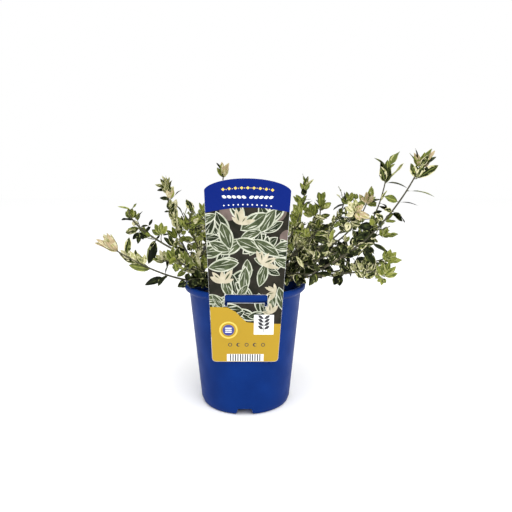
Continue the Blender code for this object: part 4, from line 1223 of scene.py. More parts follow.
def across_frame(direction: Vector) -> tuple[Vector, Vector]:
    """Two directions across a third, the first as level as it can be."""
    level = direction.cross(Vector((0, 0, 1)))
    if level.length < 1e-4:
        level = Vector((1, 0, 0))
    level.normalize()
    return level, level.cross(direction).normalized()


class ShootLine:
    """The curve that a shoot follows, from the side of its leader to its tip."""

    STEPS = 60

    def __init__(self, shoot: Shoot) -> None:
        """Works the curve out from the shoot's sizes."""
        self.shoot = shoot
        self.axis = leader_point(shoot.leader, shoot.place)
        reach, top = (size / 1000 for size in shoot.tip)
        belly, lead, swing = (size / 1000 for size in shoot.bend)
        turn = math.radians(shoot.azimuth)
        out = Vector((math.cos(turn), math.sin(turn), 0))
        self.end = Vector((*(reach * out.xy), top))
        middle = (self.axis + self.end) / 2 + out * lead + Vector((-out.y, out.x, 0)) * swing
        middle.z += belly
        self.control = 2 * middle - (self.axis + self.end) / 2
        grain = (leader_point(shoot.leader, shoot.place + 0.02) - self.axis).normalized()
        away = (self.control - self.axis).normalized()
        across = away - grain * away.dot(grain)
        steep = math.sqrt(max(0.0, 1 - across.length ** 2))
        skin = leader_radius(shoot.place) + GROWTH.limb_root * steep + GAP
        self.start = self.axis + across.normalized() * skin
        self.last = 1.0
        rough = [self.at(step / self.STEPS) for step in range(self.STEPS + 1)]
        whole = sum((b - a).length for a, b in itertools.pairwise(rough))
        self.last = 1 - GROWTH.tip_reach * shoot.size / whole
        self.length = whole * self.last

    def at(self, share: float) -> Vector:
        """The point at a share of the shoot's stem."""
        return bezier(self.start, self.control, self.end, share * self.last)

    def direction(self, share: float) -> Vector:
        """The curve's direction at a share of the shoot's stem."""
        return (self.at(min(share + 0.01, 1.0)) - self.at(max(share - 0.01, 0.0))).normalized()

    def radius(self, share: float) -> float:
        """The shoot's thickness: a limb, then the thinner stem of its mass."""
        bare = self.shoot.bare
        if share <= bare:
            thin = GROWTH.limb_root + (GROWTH.limb_tip - GROWTH.limb_root) * share / max(bare, 0.01)
        else:
            thin = GROWTH.limb_tip + (GROWTH.mass_tip - GROWTH.limb_tip) * (share - bare) / (1 - bare)
        return thin * GROWTH.stoutness


class Tubes:
    """Tapering round limbs with a rough skin, gathered as arrays for one piece."""

    def __init__(self, roughness: float, grain: float) -> None:
        """Starts with no limb.

        Args:
            roughness: The skin's relief, as a share of the radius.
            grain: How many ridges it has per metre.
        """
        self.roughness, self.grain = roughness, grain
        self.vertices: list[Vector] = []
        self.faces: list[tuple[int, ...]] = []

    def add(self, points: list[Vector], radii: list[float], sides: int) -> None:
        """Adds one closed limb along a line of points."""
        first, level = len(self.vertices), None
        for place, (point, radius) in enumerate(zip(points, radii)):
            direction = (points[min(place + 1, len(points) - 1)] - points[max(place - 1, 0)]).normalized()
            level = across_frame(direction)[0] if level is None else level
            level = (level - direction * level.dot(direction)).normalized()
            upright = level.cross(direction)
            for side in range(sides):
                turn = math.tau * side / sides
                ray = math.cos(turn) * level + math.sin(turn) * upright
                relief = noise.noise((point + ray * radius) * self.grain)
                self.vertices.append(point + ray * radius * (1 + self.roughness * relief))
        rings = [range(ring, ring + sides) for ring in range(first, len(self.vertices), sides)]
        for low, high in itertools.pairwise(rings):
            for side in range(sides):
                self.faces.append((low[side], high[side], high[side + 1 - sides], low[side + 1 - sides]))
        self.faces += [tuple(rings[0]), tuple(reversed(rings[-1]))]

    def piece(self, name: str, finish: Finish) -> Piece:
        """Makes the gathered limbs one smooth piece."""
        made = dress(mesh_piece(name, [v[:] for v in self.vertices], self.faces), finish)
        smooth(made, 60.0)
        return made


@dataclass
class Branches:
    """The stem with its root flare and three leaders, and the bare limbs that leave them."""

    lines: list[ShootLine]
    limb_step: float = 0.0016
    knot_spacing: float = 0.0140
    knot_swell: float = 0.28
    root_swell: float = 1.2
    voxel: float = 0.0006
    furrow_depth: float = 0.00035
    furrows: tuple[float, float, float] = (700.0, 700.0, 160.0)

    RELIEF = (0.16, 900.0)
    FURROW_NOISE = (0.8, 2.0, 3)

    def build(self) -> None:
        """Builds the stem and the limbs."""
        seat(self._stem(), "bark", "stem")
        limbs = Tubes(*self.RELIEF)
        bare = [line for line in self.lines if line.shoot.bare]
        for line in bare:
            count = max(12, round(line.length * line.shoot.bare / self.limb_step))
            shares = [line.shoot.bare * step / count for step in range(count + 1)]
            points = [line.axis.lerp(line.start, 0.55)] + [line.at(share) for share in shares]
            radii = [line.radius(share) * self._knot(share * line.length) for share in shares]
            limbs.add(points, [radii[0] * self.root_swell] + radii, 10)
        seat(limbs.piece("limbs", BARK), "bark", *(f"limb_{line.shoot.name}" for line in bare))

    def _knot(self, way: float) -> float:
        """How much a limb is swollen at a way from its root, with a knot at every old node."""
        return 1 + self.knot_swell * max(0.0, math.cos(math.tau * way / self.knot_spacing)) ** 12

    def _stem(self) -> Piece:
        """The stem and leaders, remeshed into one skin with furrows."""
        low = COMPOST_TOP + GAP
        tubes = Tubes(0.0, 1.0)
        heights = (0.0, 0.4 * GROWTH.flare_height, GROWTH.flare_height, GROWTH.fork_height)
        foot, stem = GROWTH.foot_radius, GROWTH.stem_radius
        radii = [foot, foot * 0.80, stem, stem * 0.86]
        tubes.add([Vector((0, 0, low + height)) for height in heights], radii, 24)
        shares = [step / 24 for step in range(25)]
        widths = [leader_radius(share) for share in shares[:-1]] + [leader_radius(1.0) * 0.6]
        for name in LEADER_TIPS:
            tubes.add([leader_point(name, share) for share in shares], widths, 16)
        stem = tubes.piece("stem_and_leaders", BARK)
        skin = stem.modifiers.new("skin", "REMESH")
        skin.mode, skin.voxel_size = "VOXEL", self.voxel
        ease = stem.modifiers.new("ease", "SMOOTH")
        ease.iterations, ease.factor = 4, 0.5
        apply_all(stem)
        for vertex in stem.data.vertices:
            ridge = noise.fractal(vertex.co * Vector(self.furrows), *self.FURROW_NOISE)
            if vertex.co.z > low + 0.0004:
                vertex.co += vertex.normal * self.furrow_depth * ridge
        stem.data.shade_smooth()
        return stem


def leaf_finish(name: str, colour: Colour, shade: Colour, roughness: float, patch_scale: float,
                specular: float = 0.2) -> Finish:
    """A leaf's finish, with soft patches and a faint grain."""
    return Finish(f"leaf_{name}", colour, shade, roughness, rough_spread=0.06, patch_scale=patch_scale,
                  patch_contrast=1.8, grain_scale=1400.0, grain_depth=0.00006, specular=specular)


LEAF_FINISHES = (
    leaf_finish("cream", (216, 210, 172), (192, 187, 146), 0.46, 300.0),
    leaf_finish("ivory", (178, 178, 122), (152, 153, 98), 0.46, 300.0),
    leaf_finish("blush", (194, 175, 139), (158, 139, 105), 0.46, 260.0),
    leaf_finish("lime", (147, 153, 71), (119, 126, 51), 0.44, 260.0),
    leaf_finish("fresh", (98, 108, 42), (78, 87, 30), 0.42, 260.0),
    leaf_finish("grey_green", (122, 126, 74), (98, 104, 58), 0.44, 280.0),
    leaf_finish("green", (62, 70, 29), (43, 51, 20), 0.42, 260.0, 0.10),
    leaf_finish("dark", (34, 42, 16), (22, 28, 10), 0.38, 240.0, 0.07),
    # deep: the darkest green of the old dark leaves, darkened further as painted shade for the foliage's
    # shaded interior
    leaf_finish("deep", (16, 20, 7), (8, 11, 4), 0.36, 240.0, 0.05),
)
CREAM, IVORY, BLUSH, LIME, FRESH, GREY, GREEN, DARK, DEEP_GREEN_AND_SHADE = range(len(LEAF_FINISHES))


@dataclass
class LeafSeed:
    """One leaf before its blade is drawn."""

    root: Vector
    along: Vector
    up: Vector
    length: float
    kind: LeafKind
    youth: float
    half: float
    droop: float


class Blades:
    """Turns leaf seeds into the arrays of one foliage piece."""

    STATIONS = (-0.13, 0.0, 0.10, 0.24, 0.40, 0.56, 0.71, 0.84, 0.94, 1.0)
    COLUMNS = (-1.0, -0.76, -0.44, -0.13, 0.13, 0.44, 0.76, 1.0)
    SIDE_POWERS = (0.70, 0.84)
    STALK = 0.075
    WAVES = 9.0
    COLUMN_CHANCE = 0.10
    EDGE_CHANCE = 0.05
    FOLDS = (0.10, 0.42)
    YOUNG_FOLD = 0.25
    BEND = 0.05
    RIPPLES = (0.0, 0.09)
    TWIST = 0.28
    RIB = 0.05
    RIM = 0.70
    RIM_CHANCE = 0.16
    PATCH_CHANCE = 0.115
    BESIDE = 0.8

    def __init__(self, seeds: list[LeafSeed], seed: int) -> None:
        """Keeps the leaves and starts the random draws."""
        self.seeds, self.draw = seeds, np.random.default_rng(seed)

    def profile(self, station: np.ndarray) -> np.ndarray:
        """The blade's half width along its length, 1 at its broadest."""
        low, high = self.SIDE_POWERS
        broadest = low / (low + high)
        share = np.clip(station, 0.0, 1.0)
        wide = share ** low * (1 - share) ** high / (broadest ** low * (1 - broadest) ** high)
        return np.maximum(wide, np.where(station < 0.05, self.STALK, 0.02))

    def vertices(self) -> np.ndarray:
        """Every leaf's points.

        Returns:
            An array of leaf, station, column and coordinate.
        """
        count, draw = len(self.seeds), self.draw
        one = (count, 1, 1)
        root, along, up = (np.array([getattr(seed, name)[:] for seed in self.seeds])[:, None, None, :]
                           for name in ("root", "along", "up"))
        length, youth, half, droop = (np.array([getattr(seed, name) for seed in self.seeds]).reshape(one)
                                      for name in ("length", "youth", "half", "droop"))
        side = np.cross(up, along)
        side /= np.linalg.norm(side, axis=-1, keepdims=True)
        up = np.cross(along, side)
        stations, columns = np.array(self.STATIONS)[:, None], np.array(self.COLUMNS)
        across = np.tile(columns, (count, len(stations), 1))
        inner = (count, len(stations), len(columns) - 2)
        across[:, :, 1:-1] += draw.uniform(-self.COLUMN_CHANCE, self.COLUMN_CHANCE, inner)
        wide = self.profile(stations) * half
        wide = wide * (1 + draw.uniform(-self.EDGE_CHANCE, self.EDGE_CHANCE, wide.shape))
        reach = (stations - stations[0]) / (1 - stations[0]) * length
        share = np.clip(stations, 0, 1)
        fold = draw.uniform(*self.FOLDS, one) + self.YOUNG_FOLD * youth
        bend = draw.normal(0, self.BEND, one)
        wave = draw.uniform(*self.RIPPLES, one) * length
        phase = draw.uniform(0, math.tau, one)
        twist = draw.normal(0, self.TWIST, one) * share
        flat = across * wide
        ripple = wave * np.sin(share * self.WAVES + phase + across) * np.abs(across) * 0.5
        lift = np.abs(flat) * fold + ripple - droop * share ** 2 * length
        sideways = flat * np.cos(twist) - lift * np.sin(twist) + bend * share ** 2 * length
        upwards = flat * np.sin(twist) + lift * np.cos(twist)
        return root + reach[..., None] * along + sideways[..., None] * side + upwards[..., None] * up

    def face_colours(self) -> np.ndarray:
        """Each face's finish, from its leaf's kind, its place across the blade and seeded patches."""
        draw = self.draw
        shape = (len(self.seeds), len(self.STATIONS) - 1, len(self.COLUMNS) - 1)
        edge = np.abs([(a + b) / 2 for a, b in itertools.pairwise(self.COLUMNS)])
        fleck, patch = draw.uniform(0, 1, shape), draw.uniform(0, 1, shape)
        along = patch + np.roll(patch, 1, axis=1) + np.roll(patch, 2, axis=1)
        patch = (along + self.BESIDE * np.roll(patch, 1, axis=2)) / (3 + self.BESIDE)
        patch = patch + draw.normal(0, self.PATCH_CHANCE, (len(self.seeds), 1, 1))
        rim = edge + draw.normal(0, self.RIM_CHANCE, shape) > self.RIM
        rib = edge < self.RIB
        layers = {
            LeafKind.MARGINED: ((patch < 0.50, DARK), (patch > 0.66, GREEN), (rib, FRESH), (rim, CREAM),
                                (rim & (fleck < 0.35), IVORY)),
            LeafKind.MOTTLED: ((patch > 0.56, GREY), (patch > 0.64, IVORY), (rim & (fleck > 0.30), IVORY),
                               (rim & (fleck > 0.68), CREAM), (patch > 0.72, CREAM),
                               ((patch < 0.40) & ~rim, DARK)),
            LeafKind.PALE: ((True, IVORY), (patch > 0.54, CREAM), ((patch < 0.34) & ~rim, GREY),
                            ((patch < 0.26) & ~rim, GREEN)),
            LeafKind.LIME: ((True, LIME), (patch < 0.45, FRESH), (rim & (fleck > 0.45), IVORY)),
            LeafKind.BLUSH: ((True, BLUSH), (patch > 0.68, CREAM), (patch < 0.33, LIME)),
            # Dark leaves: their darker patches take the deep finish, which is dark green with painted shade
            LeafKind.DARK: ((True, DARK), (patch < 0.48, DEEP_GREEN_AND_SHADE), (patch > 0.68, GREEN),
                            (rim & (fleck > 0.72), GREY)),
            LeafKind.FRESH: ((True, FRESH), (patch < 0.42, GREEN), (rib, LIME),
                             (rim & (fleck > 0.55), LIME)),
        }
        out = np.full(shape, GREEN)
        out[patch > 0.62] = GREY
        out[patch < 0.36] = DARK
        for kind, coats in layers.items():
            own = np.array([seed.kind is kind for seed in self.seeds])[:, None, None]
            for where, colour in coats:
                out[np.broadcast_to(own & where, shape)] = colour
        return out

    def piece(self, name: str) -> Piece:
        """Makes the leaves one piece with a finish for each face."""
        points = self.vertices()
        number = np.arange(points[..., 0].size).reshape(points.shape[:3])
        low, high = number[:, :-1], number[:, 1:]
        quads = np.stack([low[..., :-1], high[..., :-1], high[..., 1:], low[..., 1:]], -1)
        made = mesh_piece(name, points.reshape(-1, 3).tolist(), quads.reshape(-1, 4).tolist())
        dress(made, *LEAF_FINISHES)
        made.data.polygons.foreach_set("material_index", self.face_colours().ravel().astype(np.int32))
        made.data.shade_smooth()
        return made


class Grid:
    """Places kept by the square cell that they lie in, to find those near a point."""

    def __init__(self, cell: float) -> None:
        """Starts empty, with cells of one size."""
        self.cell = cell
        self.places: dict[tuple[int, ...], list[tuple[float, ...]]] = {}

    def _key(self, place: tuple[float, ...]) -> tuple[int, ...]:
        """The cell that a place lies in."""
        return tuple(int(part // self.cell) for part in place)

    def add(self, place: tuple[float, ...], *more: float) -> None:
        """Keeps a place, with values that belong to it."""
        self.places.setdefault(self._key(place), []).append((*place, *more))

    def near(self, place: tuple[float, ...], distance: float) -> list[tuple[float, ...]]:
        """The kept places within a distance that is no longer than a cell."""
        cells = itertools.product(*((part - 1, part, part + 1) for part in self._key(place)))
        size = len(place)
        return [found for cell in cells for found in self.places.get(cell, ())
                if math.dist(found[:size], place) < distance]


class Crowd:
    """The room that leaves have: each keeps to its own mass and off the pot, the card and the others.

    VIEW_CELL and VIEW_NEAR are slopes from the camera, and OPENING_EDGE is in pixels of the photograph.
    """

    CELL = 0.005
    VIEW_CELL = 0.010
    VIEW_NEAR = 0.0036
    OPENING_EDGE = 1.2
    SLACK = 0.006
    RIM_ENDS = (-0.0040, 0.0015)
    COMPOST_ROOM = 0.0020
    RIM_ROOM = 0.0010
    CARD_DEPTHS = (-0.0018, 0.0025)
    CARD_HALF = 0.0470
    CARD_ROOM = 0.0010
    CARD_ENDS = (-0.0820, 0.1310)

    def __init__(self, lines: list[ShootLine], pot: Pot) -> None:
        """Notes every shoot's middle line."""
        self.pot = pot
        self.to_card = card_matrix().inverted()
        self.names = [line.shoot.name for line in lines]
        self.spines = []
        for line in lines:
            shares = [line.shoot.bare + (1 - line.shoot.bare) * step / 12 for step in range(13)]
            self.spines.append(np.array([line.at(share)[:] for share in shares]))
        self.kept = Grid(self.CELL)
        self.shown = Grid(self.VIEW_CELL)
        self.openings = [opening for openings in OPENINGS.values() for opening in openings]

    @staticmethod
    def seen(point: Vector) -> tuple[float, float, float]:
        """Where the photograph's camera sees a point: its slopes to the right and up, and its depth."""
        local = point - CAMERA_PLACE
        depth = -local.dot(PICTURE_NEAR)
        return local.dot(PICTURE_RIGHT) / depth, local.dot(PICTURE_UP) / depth, depth

    def note_shown(self, points: list[Vector]) -> None:
        """Notes a leaf that the photograph shows, so that no chance leaf comes before it."""
        for right, up, depth in map(self.seen, points):
            self.shown.add((right, up), depth)

    def hides(self, points: list[Vector]) -> bool:
        """True if any of these points comes before a leaf that the photograph shows."""
        return any(depth < shown[-1] for right, up, depth in map(self.seen, points)
                   for shown in self.shown.near((right, up), self.VIEW_NEAR))

    def in_opening(self, points: list[Vector]) -> bool:
        """True if the camera sees any of these points in an opening that the photograph shows."""
        for right, up, _ in map(self.seen, points):
            x, y = VIEW_CENTRE + VIEW_FOCUS * right, VIEW_CENTRE - VIEW_FOCUS * up
            if any(math.hypot(x - across, y - down) < radius + self.OPENING_EDGE
                   for across, down, radius in self.openings):
                return True
        return False

    def own_side(self, name: str, point: Vector) -> bool:
        """True if a point lies nearer its own shoot than any other, within a slack."""
        place = np.array(point[:])
        near = [np.linalg.norm(spine - place, axis=1).min() for spine in self.spines]
        return near[self.names.index(name)] - self.SLACK <= min(near)

    def clear_of_pot(self, points: list[Vector]) -> bool:
        """True if points keep off the pot, the compost and the card, and don't pass through the card."""
        inner, outer = self.pot.rim_inner + self.RIM_ENDS[0], self.pot.rim_radius + self.RIM_ENDS[1]
        (behind, before), (foot, top) = self.CARD_DEPTHS, self.CARD_ENDS
        for point in points:
            flat = point.xy.length
            in_pot = point.z < COMPOST_TOP + self.COMPOST_ROOM and flat < self.pot.rim_inner
            in_rim = point.z < POT_HEIGHT + self.RIM_ROOM and inner < flat < outer
            in_wall = point.z < COMPOST_TOP and flat < outer
            x, y, z = self.to_card @ point
            in_card = behind < z < before and abs(x) < self.CARD_HALF and foot < y < top
            if in_pot or in_rim or in_wall or in_card:
                return False
        first, last = self.to_card @ points[0], self.to_card @ points[-1]
        crossing = first.z * last.z < 0 and abs(last.x) < self.CARD_HALF + self.CARD_ROOM and last.y < top
        return not crossing

    def free(self, points: list[Vector], near: float) -> bool:
        """True if no kept leaf's middle lies within a distance of these points."""
        return not any(self.kept.near(point[:], near) for point in points)

    def keep(self, points: list[Vector]) -> None:
        """Notes the points of a kept leaf."""
        for point in points:
            self.kept.add(point[:])


class Spray:
    """The twigs and leaves of one shoot, grown by the solids' rule and carried on to finer twigs.

    ROSETTE holds the lean and the share of the full length of each pair round a tip, from the lowest. Other
    pairs of numbers are the ends of a random draw, or a first value and its growth.
    """

    FRONT_LIGHT = Vector((0.0, -0.75, 0.55))
    BACK_LIGHT = Vector((0.0, 0.60, 0.60))
    BACK_START = 0.06
    FACING = (0.55, 0.8, 0.38)
    TRIED_SIZES = (1.0, 0.84, 0.70)
    SAMPLES = (0.45, 0.75, 1.0, 0.2, 0.6)
    LEAF_ROOM = 0.0026
    YOUNG_ROOM = 0.0018
    HALVES = (0.205, 0.260)
    YOUNG_NARROWER = 0.05
    DROOPS = (-0.05, 0.25)
    YOUNG_STIFFER = 1.6
    SPIN_CHANCE = 0.3
    LEAN_CHANCE = 0.2
    ODD_LEAVES = 0.25
    PAIR_LENGTHS = (0.82, 1.14)
    PAIR_RISE = Vector((0, 0, 0.45))
    ROSETTE = ((0.75, 0.95), (0.50, 0.86), (0.28, 0.70), (0.12, 0.48))
    ROSETTE_LOW = 0.0060
    ROSETTE_STEP = 0.0018
    ROSETTE_YOUTH = (0.75, 0.08)
    ROSETTE_SIZE = 0.76
    STEM_STEP = 0.003
    NODE_LENGTHS = (0.88, 1.08)
    NODE_LEANS = (0.78, 0.45)
    OLD_SHARE = 0.6
    TWIGGED = 0.70
    TWIG_GROWTH = (0.010, 0.22)
    TWIG_SPREADS = (0.65, 0.95)
    TWIG_LENGTHS = (0.72, 0.92)
    TWIG_REACHES = (0.45, 1.0)
    TWIG_TIP = ((0.0010, math.pi / 2, 0.45, 0.66, 0.7), (0.0, 0.0, 0.20, 0.50, 0.85))
    TWIG_STEPS = 8
    TWIG_INTERNODE = 0.011
    LONGEST_TWIG = 0.036
    SHORT_TWIGS = 0.62
    SHOWN_SWELL = 1.15
    SHOWN_LEAN = (0.20, 0.15)
    SHOWN_SAMPLES = (0.3, 0.5, 0.7, 0.9)
    YOUNG = (LeafKind.BLUSH, LeafKind.PALE, LeafKind.LIME)
    YOUNG_LENGTH = 0.020
    NARROW = (LeafKind.BLUSH, LeafKind.PALE)
    WIDTHS = (0.24, 0.30, 0.38)

    def __init__(self, line: ShootLine, crowd: Crowd, twigs: Tubes) -> None:
        """Starts the shoot's own random draws."""
        self.line, self.crowd, self.twigs = line, crowd, twigs
        self.name = line.shoot.name
        self.draw = random.Random(f"wintercreeper {self.name}")
        self.seeds: list[LeafSeed] = []
        self.twig_places: set[tuple[float, tuple[float, float]]] = set()

    def kind(self, youth: float) -> LeafKind:
        """A leaf's kind, from the shoot's tips where it is young and from its body where it is old."""
        letters = self.line.shoot.tips if self.draw.random() < youth else self.line.shoot.body
        return LeafKind(self.draw.choice(letters))

    def facing(self, root: Vector, along: Vector, up: Vector) -> Vector:
        """Turns a leaf's upper face to the light, with a chance tilt.

        Args:
            root: Where the leaf starts.
            along: Where it points, of length 1.
            up: Where its face would look on an upright shoot.

        Returns:
            The face's direction, across the leaf.
        """
        upright, lit, chance = self.FACING
        light = self.FRONT_LIGHT if root.y < self.BACK_START else self.BACK_LIGHT
        tilt = Vector([self.draw.gauss(0.0, chance) for _ in range(3)])
        face = up.normalized() * upright + light * lit + tilt
        return (face - along * face.dot(along)).normalized()

    def leaf(self, root: Vector, along: Vector, up: Vector, length: float, kind: LeafKind,
             youth: float) -> None:
        """Adds a leaf where it has room, shorter where a full one hasn't."""
        along = along.normalized()
        up = self.facing(root, along, up)
        crowd, room = self.crowd, self.YOUNG_ROOM if youth > 0.6 else self.LEAF_ROOM
        for share in self.TRIED_SIZES:
            size = length * share
            samples = [root + along * size * part for part in self.SAMPLES]
            if not crowd.own_side(self.name, samples[1]) or crowd.in_opening(samples):
                continue
            if crowd.hides(samples) or not crowd.clear_of_pot([root] + samples[:3]):
                continue
            if crowd.free(samples[:2], room):
                crowd.keep(samples[:2])
                half = size * (self.draw.uniform(*self.HALVES) - self.YOUNG_NARROWER * youth)
                droop = self.draw.uniform(*self.DROOPS) * (1 - self.YOUNG_STIFFER * youth)
                self.seeds.append(LeafSeed(root, along, up, size, kind, youth, half, droop))
                return

    def pair(self, point: Vector, axis: Vector, turn: float, angle: float, length: float,
             youth: float) -> None:
        """Two opposite leaves of one kind at a node."""
        level, upright = across_frame(axis)
        kind = self.kind(youth)
        for half_turn in (0.0, math.pi):
            spin = turn + half_turn + self.draw.uniform(-self.SPIN_CHANCE, self.SPIN_CHANCE)
            side = math.cos(spin) * level + math.sin(spin) * upright
            lean = angle + self.draw.uniform(-self.LEAN_CHANCE, self.LEAN_CHANCE)
            along = math.cos(lean) * axis + math.sin(lean) * side
            up = math.sin(lean) * axis - math.cos(lean) * side + self.PAIR_RISE
            other = self.kind(youth) if self.draw.random() < self.ODD_LEAVES else kind
            self.leaf(point, along, up, length * self.draw.uniform(*self.PAIR_LENGTHS), other, youth)

    def rosette(self, point: Vector, axis: Vector, turn: float, size: float) -> None:
        """The upright leaves round a growing tip."""
        first, older = self.ROSETTE_YOUTH
        for step, (angle, share) in enumerate(self.ROSETTE):
            place = point - axis * (self.ROSETTE_LOW - self.ROSETTE_STEP * step)
            self.pair(place, axis, turn + step * math.pi / 2, angle, size * share, first + older * step)

    def twig(self, start: Vector, middle: Vector, end: Vector, steps: int, taper: float) -> None:
        """Adds a twig along a curve, thinner by a taper at its end."""
        shares = [step / steps for step in range(steps + 1)]
        radii = [GROWTH.twig_radius * (1 - taper * share) for share in shares]
        self.twigs.add([bezier(start, middle, end, share) for share in shares], radii, 6)

    def side_twig(self, point: Vector, axis: Vector, spin: float, reach: float, size: float) -> None:
        """A side twig with pairs of leaves and a small rosette."""
        level, upright = across_frame(axis)
        side = math.cos(spin) * level + math.sin(spin) * upright
        spread = self.draw.uniform(*self.TWIG_SPREADS)
        out = (math.cos(spread) * axis + math.sin(spread) * side).normalized() * reach
        middle, end = point + out * 0.55, point + out + Vector((0, 0, 0.22 * reach))
        curve = [bezier(point, middle, end, step / self.TWIG_STEPS) for step in range(self.TWIG_STEPS + 1)]
        if not self.crowd.own_side(self.name, end) or not self.crowd.clear_of_pot(curve[2:]):
            return
        if self.crowd.in_opening(curve[3:]):
            return
        self.twig(point, middle, end, self.TWIG_STEPS, 0.45)
        tip = (curve[-1] - curve[-3]).normalized()
        turn = self.draw.uniform(0, math.pi)
        nodes = max(1, round(reach / self.TWIG_INTERNODE))
        for node in range(nodes):
            share = (node + 0.7) / (nodes + 0.3)
            turn += math.pi / 2
            where, length = bezier(point, middle, end, share), size * self.draw.uniform(*self.TWIG_LENGTHS)
            self.pair(where, tip, turn, 0.95 - 0.2 * share, length, 0.35 * share)
        for back, spin, lean, part, youth in self.TWIG_TIP:
            self.pair(end - tip * back, tip, turn + spin, lean, size * part, youth)

    def show(self) -> None:
        """Grows the leaves that the photograph shows, each fan on its twig."""
        for fan in FANS.get(self.name, ()):
            root = self._fan_root(fan)
            for turn, length, kind in fan.leaves():
                self._shown_leaf(fan, root, turn, length, kind)

    def _fan_root(self, fan: Fan) -> Vector:
        """Where a fan starts: on the stem, or at the end of a twig that is grown when it is first met."""
        root = self.line.at(fan.share)
        if fan.twig == (0.0, 0.0):
            return root
        right, up = fan.twig
        end = root + PICTURE_RIGHT * right * MM + PICTURE_UP * up * MM
        if (fan.share, fan.twig) not in self.twig_places:
            self.twig_places.add((fan.share, fan.twig))
            way = (end - root).length
            middle = root.lerp(end, 0.5) + self.line.direction(fan.share) * 0.18 * way
            self.twig(root, middle, end, max(3, round(way / 0.002)), 0.4)
        return end

    def _shown_leaf(self, fan: Fan, root: Vector, turn: float, length: float, kind: LeafKind) -> None:
        """Adds one leaf as the photograph shows it, rolled until the width that shows is right."""
        shown, arch = self.SHOWN_SWELL * fan.width * MM, fan.droop * MM
        lean = self.draw.gauss(*self.SHOWN_LEAN)
        flat = math.cos(turn) * PICTURE_RIGHT + math.sin(turn) * PICTURE_UP
        chord = math.cos(lean) * flat + math.sin(lean) * PICTURE_NEAR
        young = kind in self.YOUNG and length < self.YOUNG_LENGTH
        narrow, slim, broad = self.WIDTHS
        wide = max(shown, length * (narrow if kind in self.NARROW else slim if young else broad))
        roll = math.acos(min(1.0, shown / wide))
        near = (PICTURE_NEAR - chord * PICTURE_NEAR.dot(chord)).normalized()
        over = near.cross(chord)
        over = -over if over.z < 0 else over
        up = math.cos(roll) * near + math.sin(roll) * over
        along = (chord * length + up * arch).normalized()
        up = (up - along * up.dot(along)).normalized()
        samples = [root + along * length * part for part in self.SHOWN_SAMPLES]
        self.crowd.keep(samples)
        self.crowd.note_shown(samples)
        youth = 0.7 if young else 0.1
        self.seeds.append(LeafSeed(root, along, up, length, kind, youth, wide / 2, arch / length))

    def grow(self) -> None:
        """Grows the shoot's stem, its twigs and its leaves, from the tip back to the foot."""
        line, shoot = self.line, self.line.shoot
        first, length = shoot.bare, line.length * (1 - shoot.bare)
        steps = max(14, round(length / self.STEM_STEP))
        shares = [first + (1 - first) * step / steps for step in range(steps + 1)]
        points, radii = [line.at(share) for share in shares], [line.radius(share) for share in shares]
        if not first:
            points.insert(0, line.axis.lerp(line.start, 0.5))
            radii.insert(0, radii[0])
        self.twigs.add(points, radii, 8)
        size = GROWTH.leaf_length * shoot.size
        turn = self.draw.uniform(0, math.pi)
        if shoot.fill > 0.45:
            self.rosette(line.at(1.0), line.direction(1.0), turn, size * self.ROSETTE_SIZE)
        count = max(3, round(length / GROWTH.internode))
        twigged = min(count, round(count * self.TWIGGED) + shoot.twigs - 2)
        twig_nodes = set(self.draw.sample(range(count), twigged))
        least, longer = self.TWIG_GROWTH
        longest = min(self.LONGEST_TWIG, longer * length + least)
        longest *= self.SHORT_TWIGS if self.name in FANS else 1.0
        for node in reversed(range(count)):
            along = (node + 0.4) / (count + 0.45)
            share = first + (1 - first) * along
            point, axis = line.at(share), line.direction(share)
            turn += math.pi / 2
            if self.draw.random() > (shoot.fill if along > 0.4 else max(shoot.fill, 0.5)):
                continue
            full = size * self.draw.uniform(*self.NODE_LENGTHS)
            upright, wider = self.NODE_LEANS
            youth = max(0.0, along - self.OLD_SHARE)
            self.pair(point, axis, turn, upright + wider * (1 - along), full, youth)
            if node in twig_nodes:
                reach = self.draw.uniform(*self.TWIG_REACHES) * longest
                spin = turn + math.pi / 2 + self.draw.uniform(-0.5, 0.5)
                self.side_twig(point, axis, spin, reach, size)


@dataclass
class Foliage:
    """All twigs and leaves, in pieces by the side of the plant that they grow on."""

    lines: list[ShootLine]
    pot: Pot
    outer_reach: float = 150.0
    first_seed: int = 100
    relief: tuple[float, float] = (0.14, 900.0)

    def group_of(self, shoot: Shoot) -> str:
        """The foliage piece that a shoot's leaves join."""
        if shoot.name.startswith("back"):
            return "foliage_back"
        if shoot.name.startswith("left") or shoot.name == "far_left":
            return "foliage_left"
        if shoot.tip[0] > self.outer_reach:
            return "foliage_right_outer"
        return "foliage_right_inner" if shoot.name.startswith("right") else "foliage_middle"

    def build(self) -> None:
        """Grows every shoot and joins the twigs and the leaves."""
        crowd, twigs = Crowd(self.lines, self.pot), Tubes(*self.relief)
        groups: dict[str, tuple[list[LeafSeed], list[str]]] = {}
        sprays = [Spray(line, crowd, twigs) for line in self.lines]
        for spray in sprays:
            spray.show()
        for spray in sprays:
            spray.grow()
            seeds, nodes = groups.setdefault(self.group_of(spray.line.shoot), ([], []))
            seeds += spray.seeds
            nodes.append(f"leaves_{spray.name}")
        for number, (name, (seeds, nodes)) in enumerate(groups.items()):
            seat(Blades(seeds, self.first_seed + number).piece(name), "leaves", *nodes)
            LOG.info("%s: %d leaves", name, len(seeds))
        seat(twigs.piece("twigs", YOUNG_BARK), "bark")


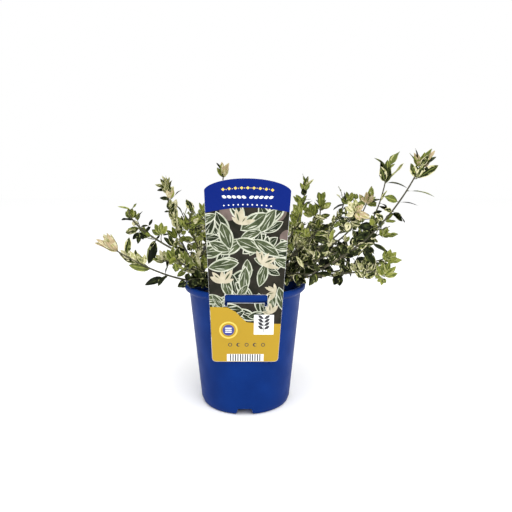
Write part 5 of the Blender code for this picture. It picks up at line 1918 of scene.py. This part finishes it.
@dataclass
class Studio:
    """The white floor, the soft lights and the camera at the photograph's angle."""

    lens: float = 35.16
    sensor: float = 36.0
    floor_size: float = 12.0
    floor_white: float = 253.876

    LIGHTS = (("key", (0.55, -1.15, 1.3), 1.2, 14.0), ("top", (0.1, -0.3, 1.6), 1.2, 8.0),
              ("fill", (-0.9, -0.9, 0.9), 0.9, 1.0))
    LIT = Vector((0, 0, 0.15))

    def build(self) -> None:
        """Sets the floor, the light and the camera up."""
        deselect()
        bpy.ops.mesh.primitive_plane_add(size=self.floor_size, location=(0, 0, -0.0004))
        floor = bpy.context.object
        floor.name = "studio_floor"
        white = (self.floor_white,) * 3
        dress(floor, Finish("studio_white", white, white, 0.9, specular=0.0))
        world = bpy.data.worlds.new("studio")
        world.use_nodes = True
        feed(world.node_tree.nodes["Background"].inputs["Color"], (1.0, 1.0, 1.0, 1.0))
        feed(world.node_tree.nodes["Background"].inputs["Strength"], 1.0)
        bpy.context.scene.world = world
        for name, place, size, power in self.LIGHTS:
            data = bpy.data.lights.new(name, "AREA")
            data.size, data.energy = size, power
            light = link(name, data)
            light.location = place
            light.rotation_euler = (self.LIT - light.location).to_track_quat("-Z", "Y").to_euler()
        data = bpy.data.cameras.new("photo_camera")
        data.lens, data.sensor_width = self.lens, self.sensor
        camera = link("photo_camera", data)
        camera.location = CAMERA_PLACE
        camera.rotation_euler = (math.pi / 2 - PICTURE_TILT, 0, 0)
        bpy.context.scene.camera = camera
        bpy.context.scene.view_settings.view_transform = "Standard"


def main() -> None:
    """Builds each part of the plant in order."""
    logging.basicConfig(level=logging.INFO, format="%(name)s: %(message)s")
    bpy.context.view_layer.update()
    lines = [ShootLine(shoot) for shoot in SHOOTS]
    pot = Pot()
    pot.build()
    LOG.info("pot built")
    Compost(pot).build()
    LOG.info("compost built")
    LOG.info("card print: %d pieces", Card().build())
    Branches(lines).build()
    LOG.info("stem and limbs built")
    Foliage(lines, pot).build()
    Studio().build()
    bpy.context.view_layer.update()


if __name__ == "__main__":
    main()
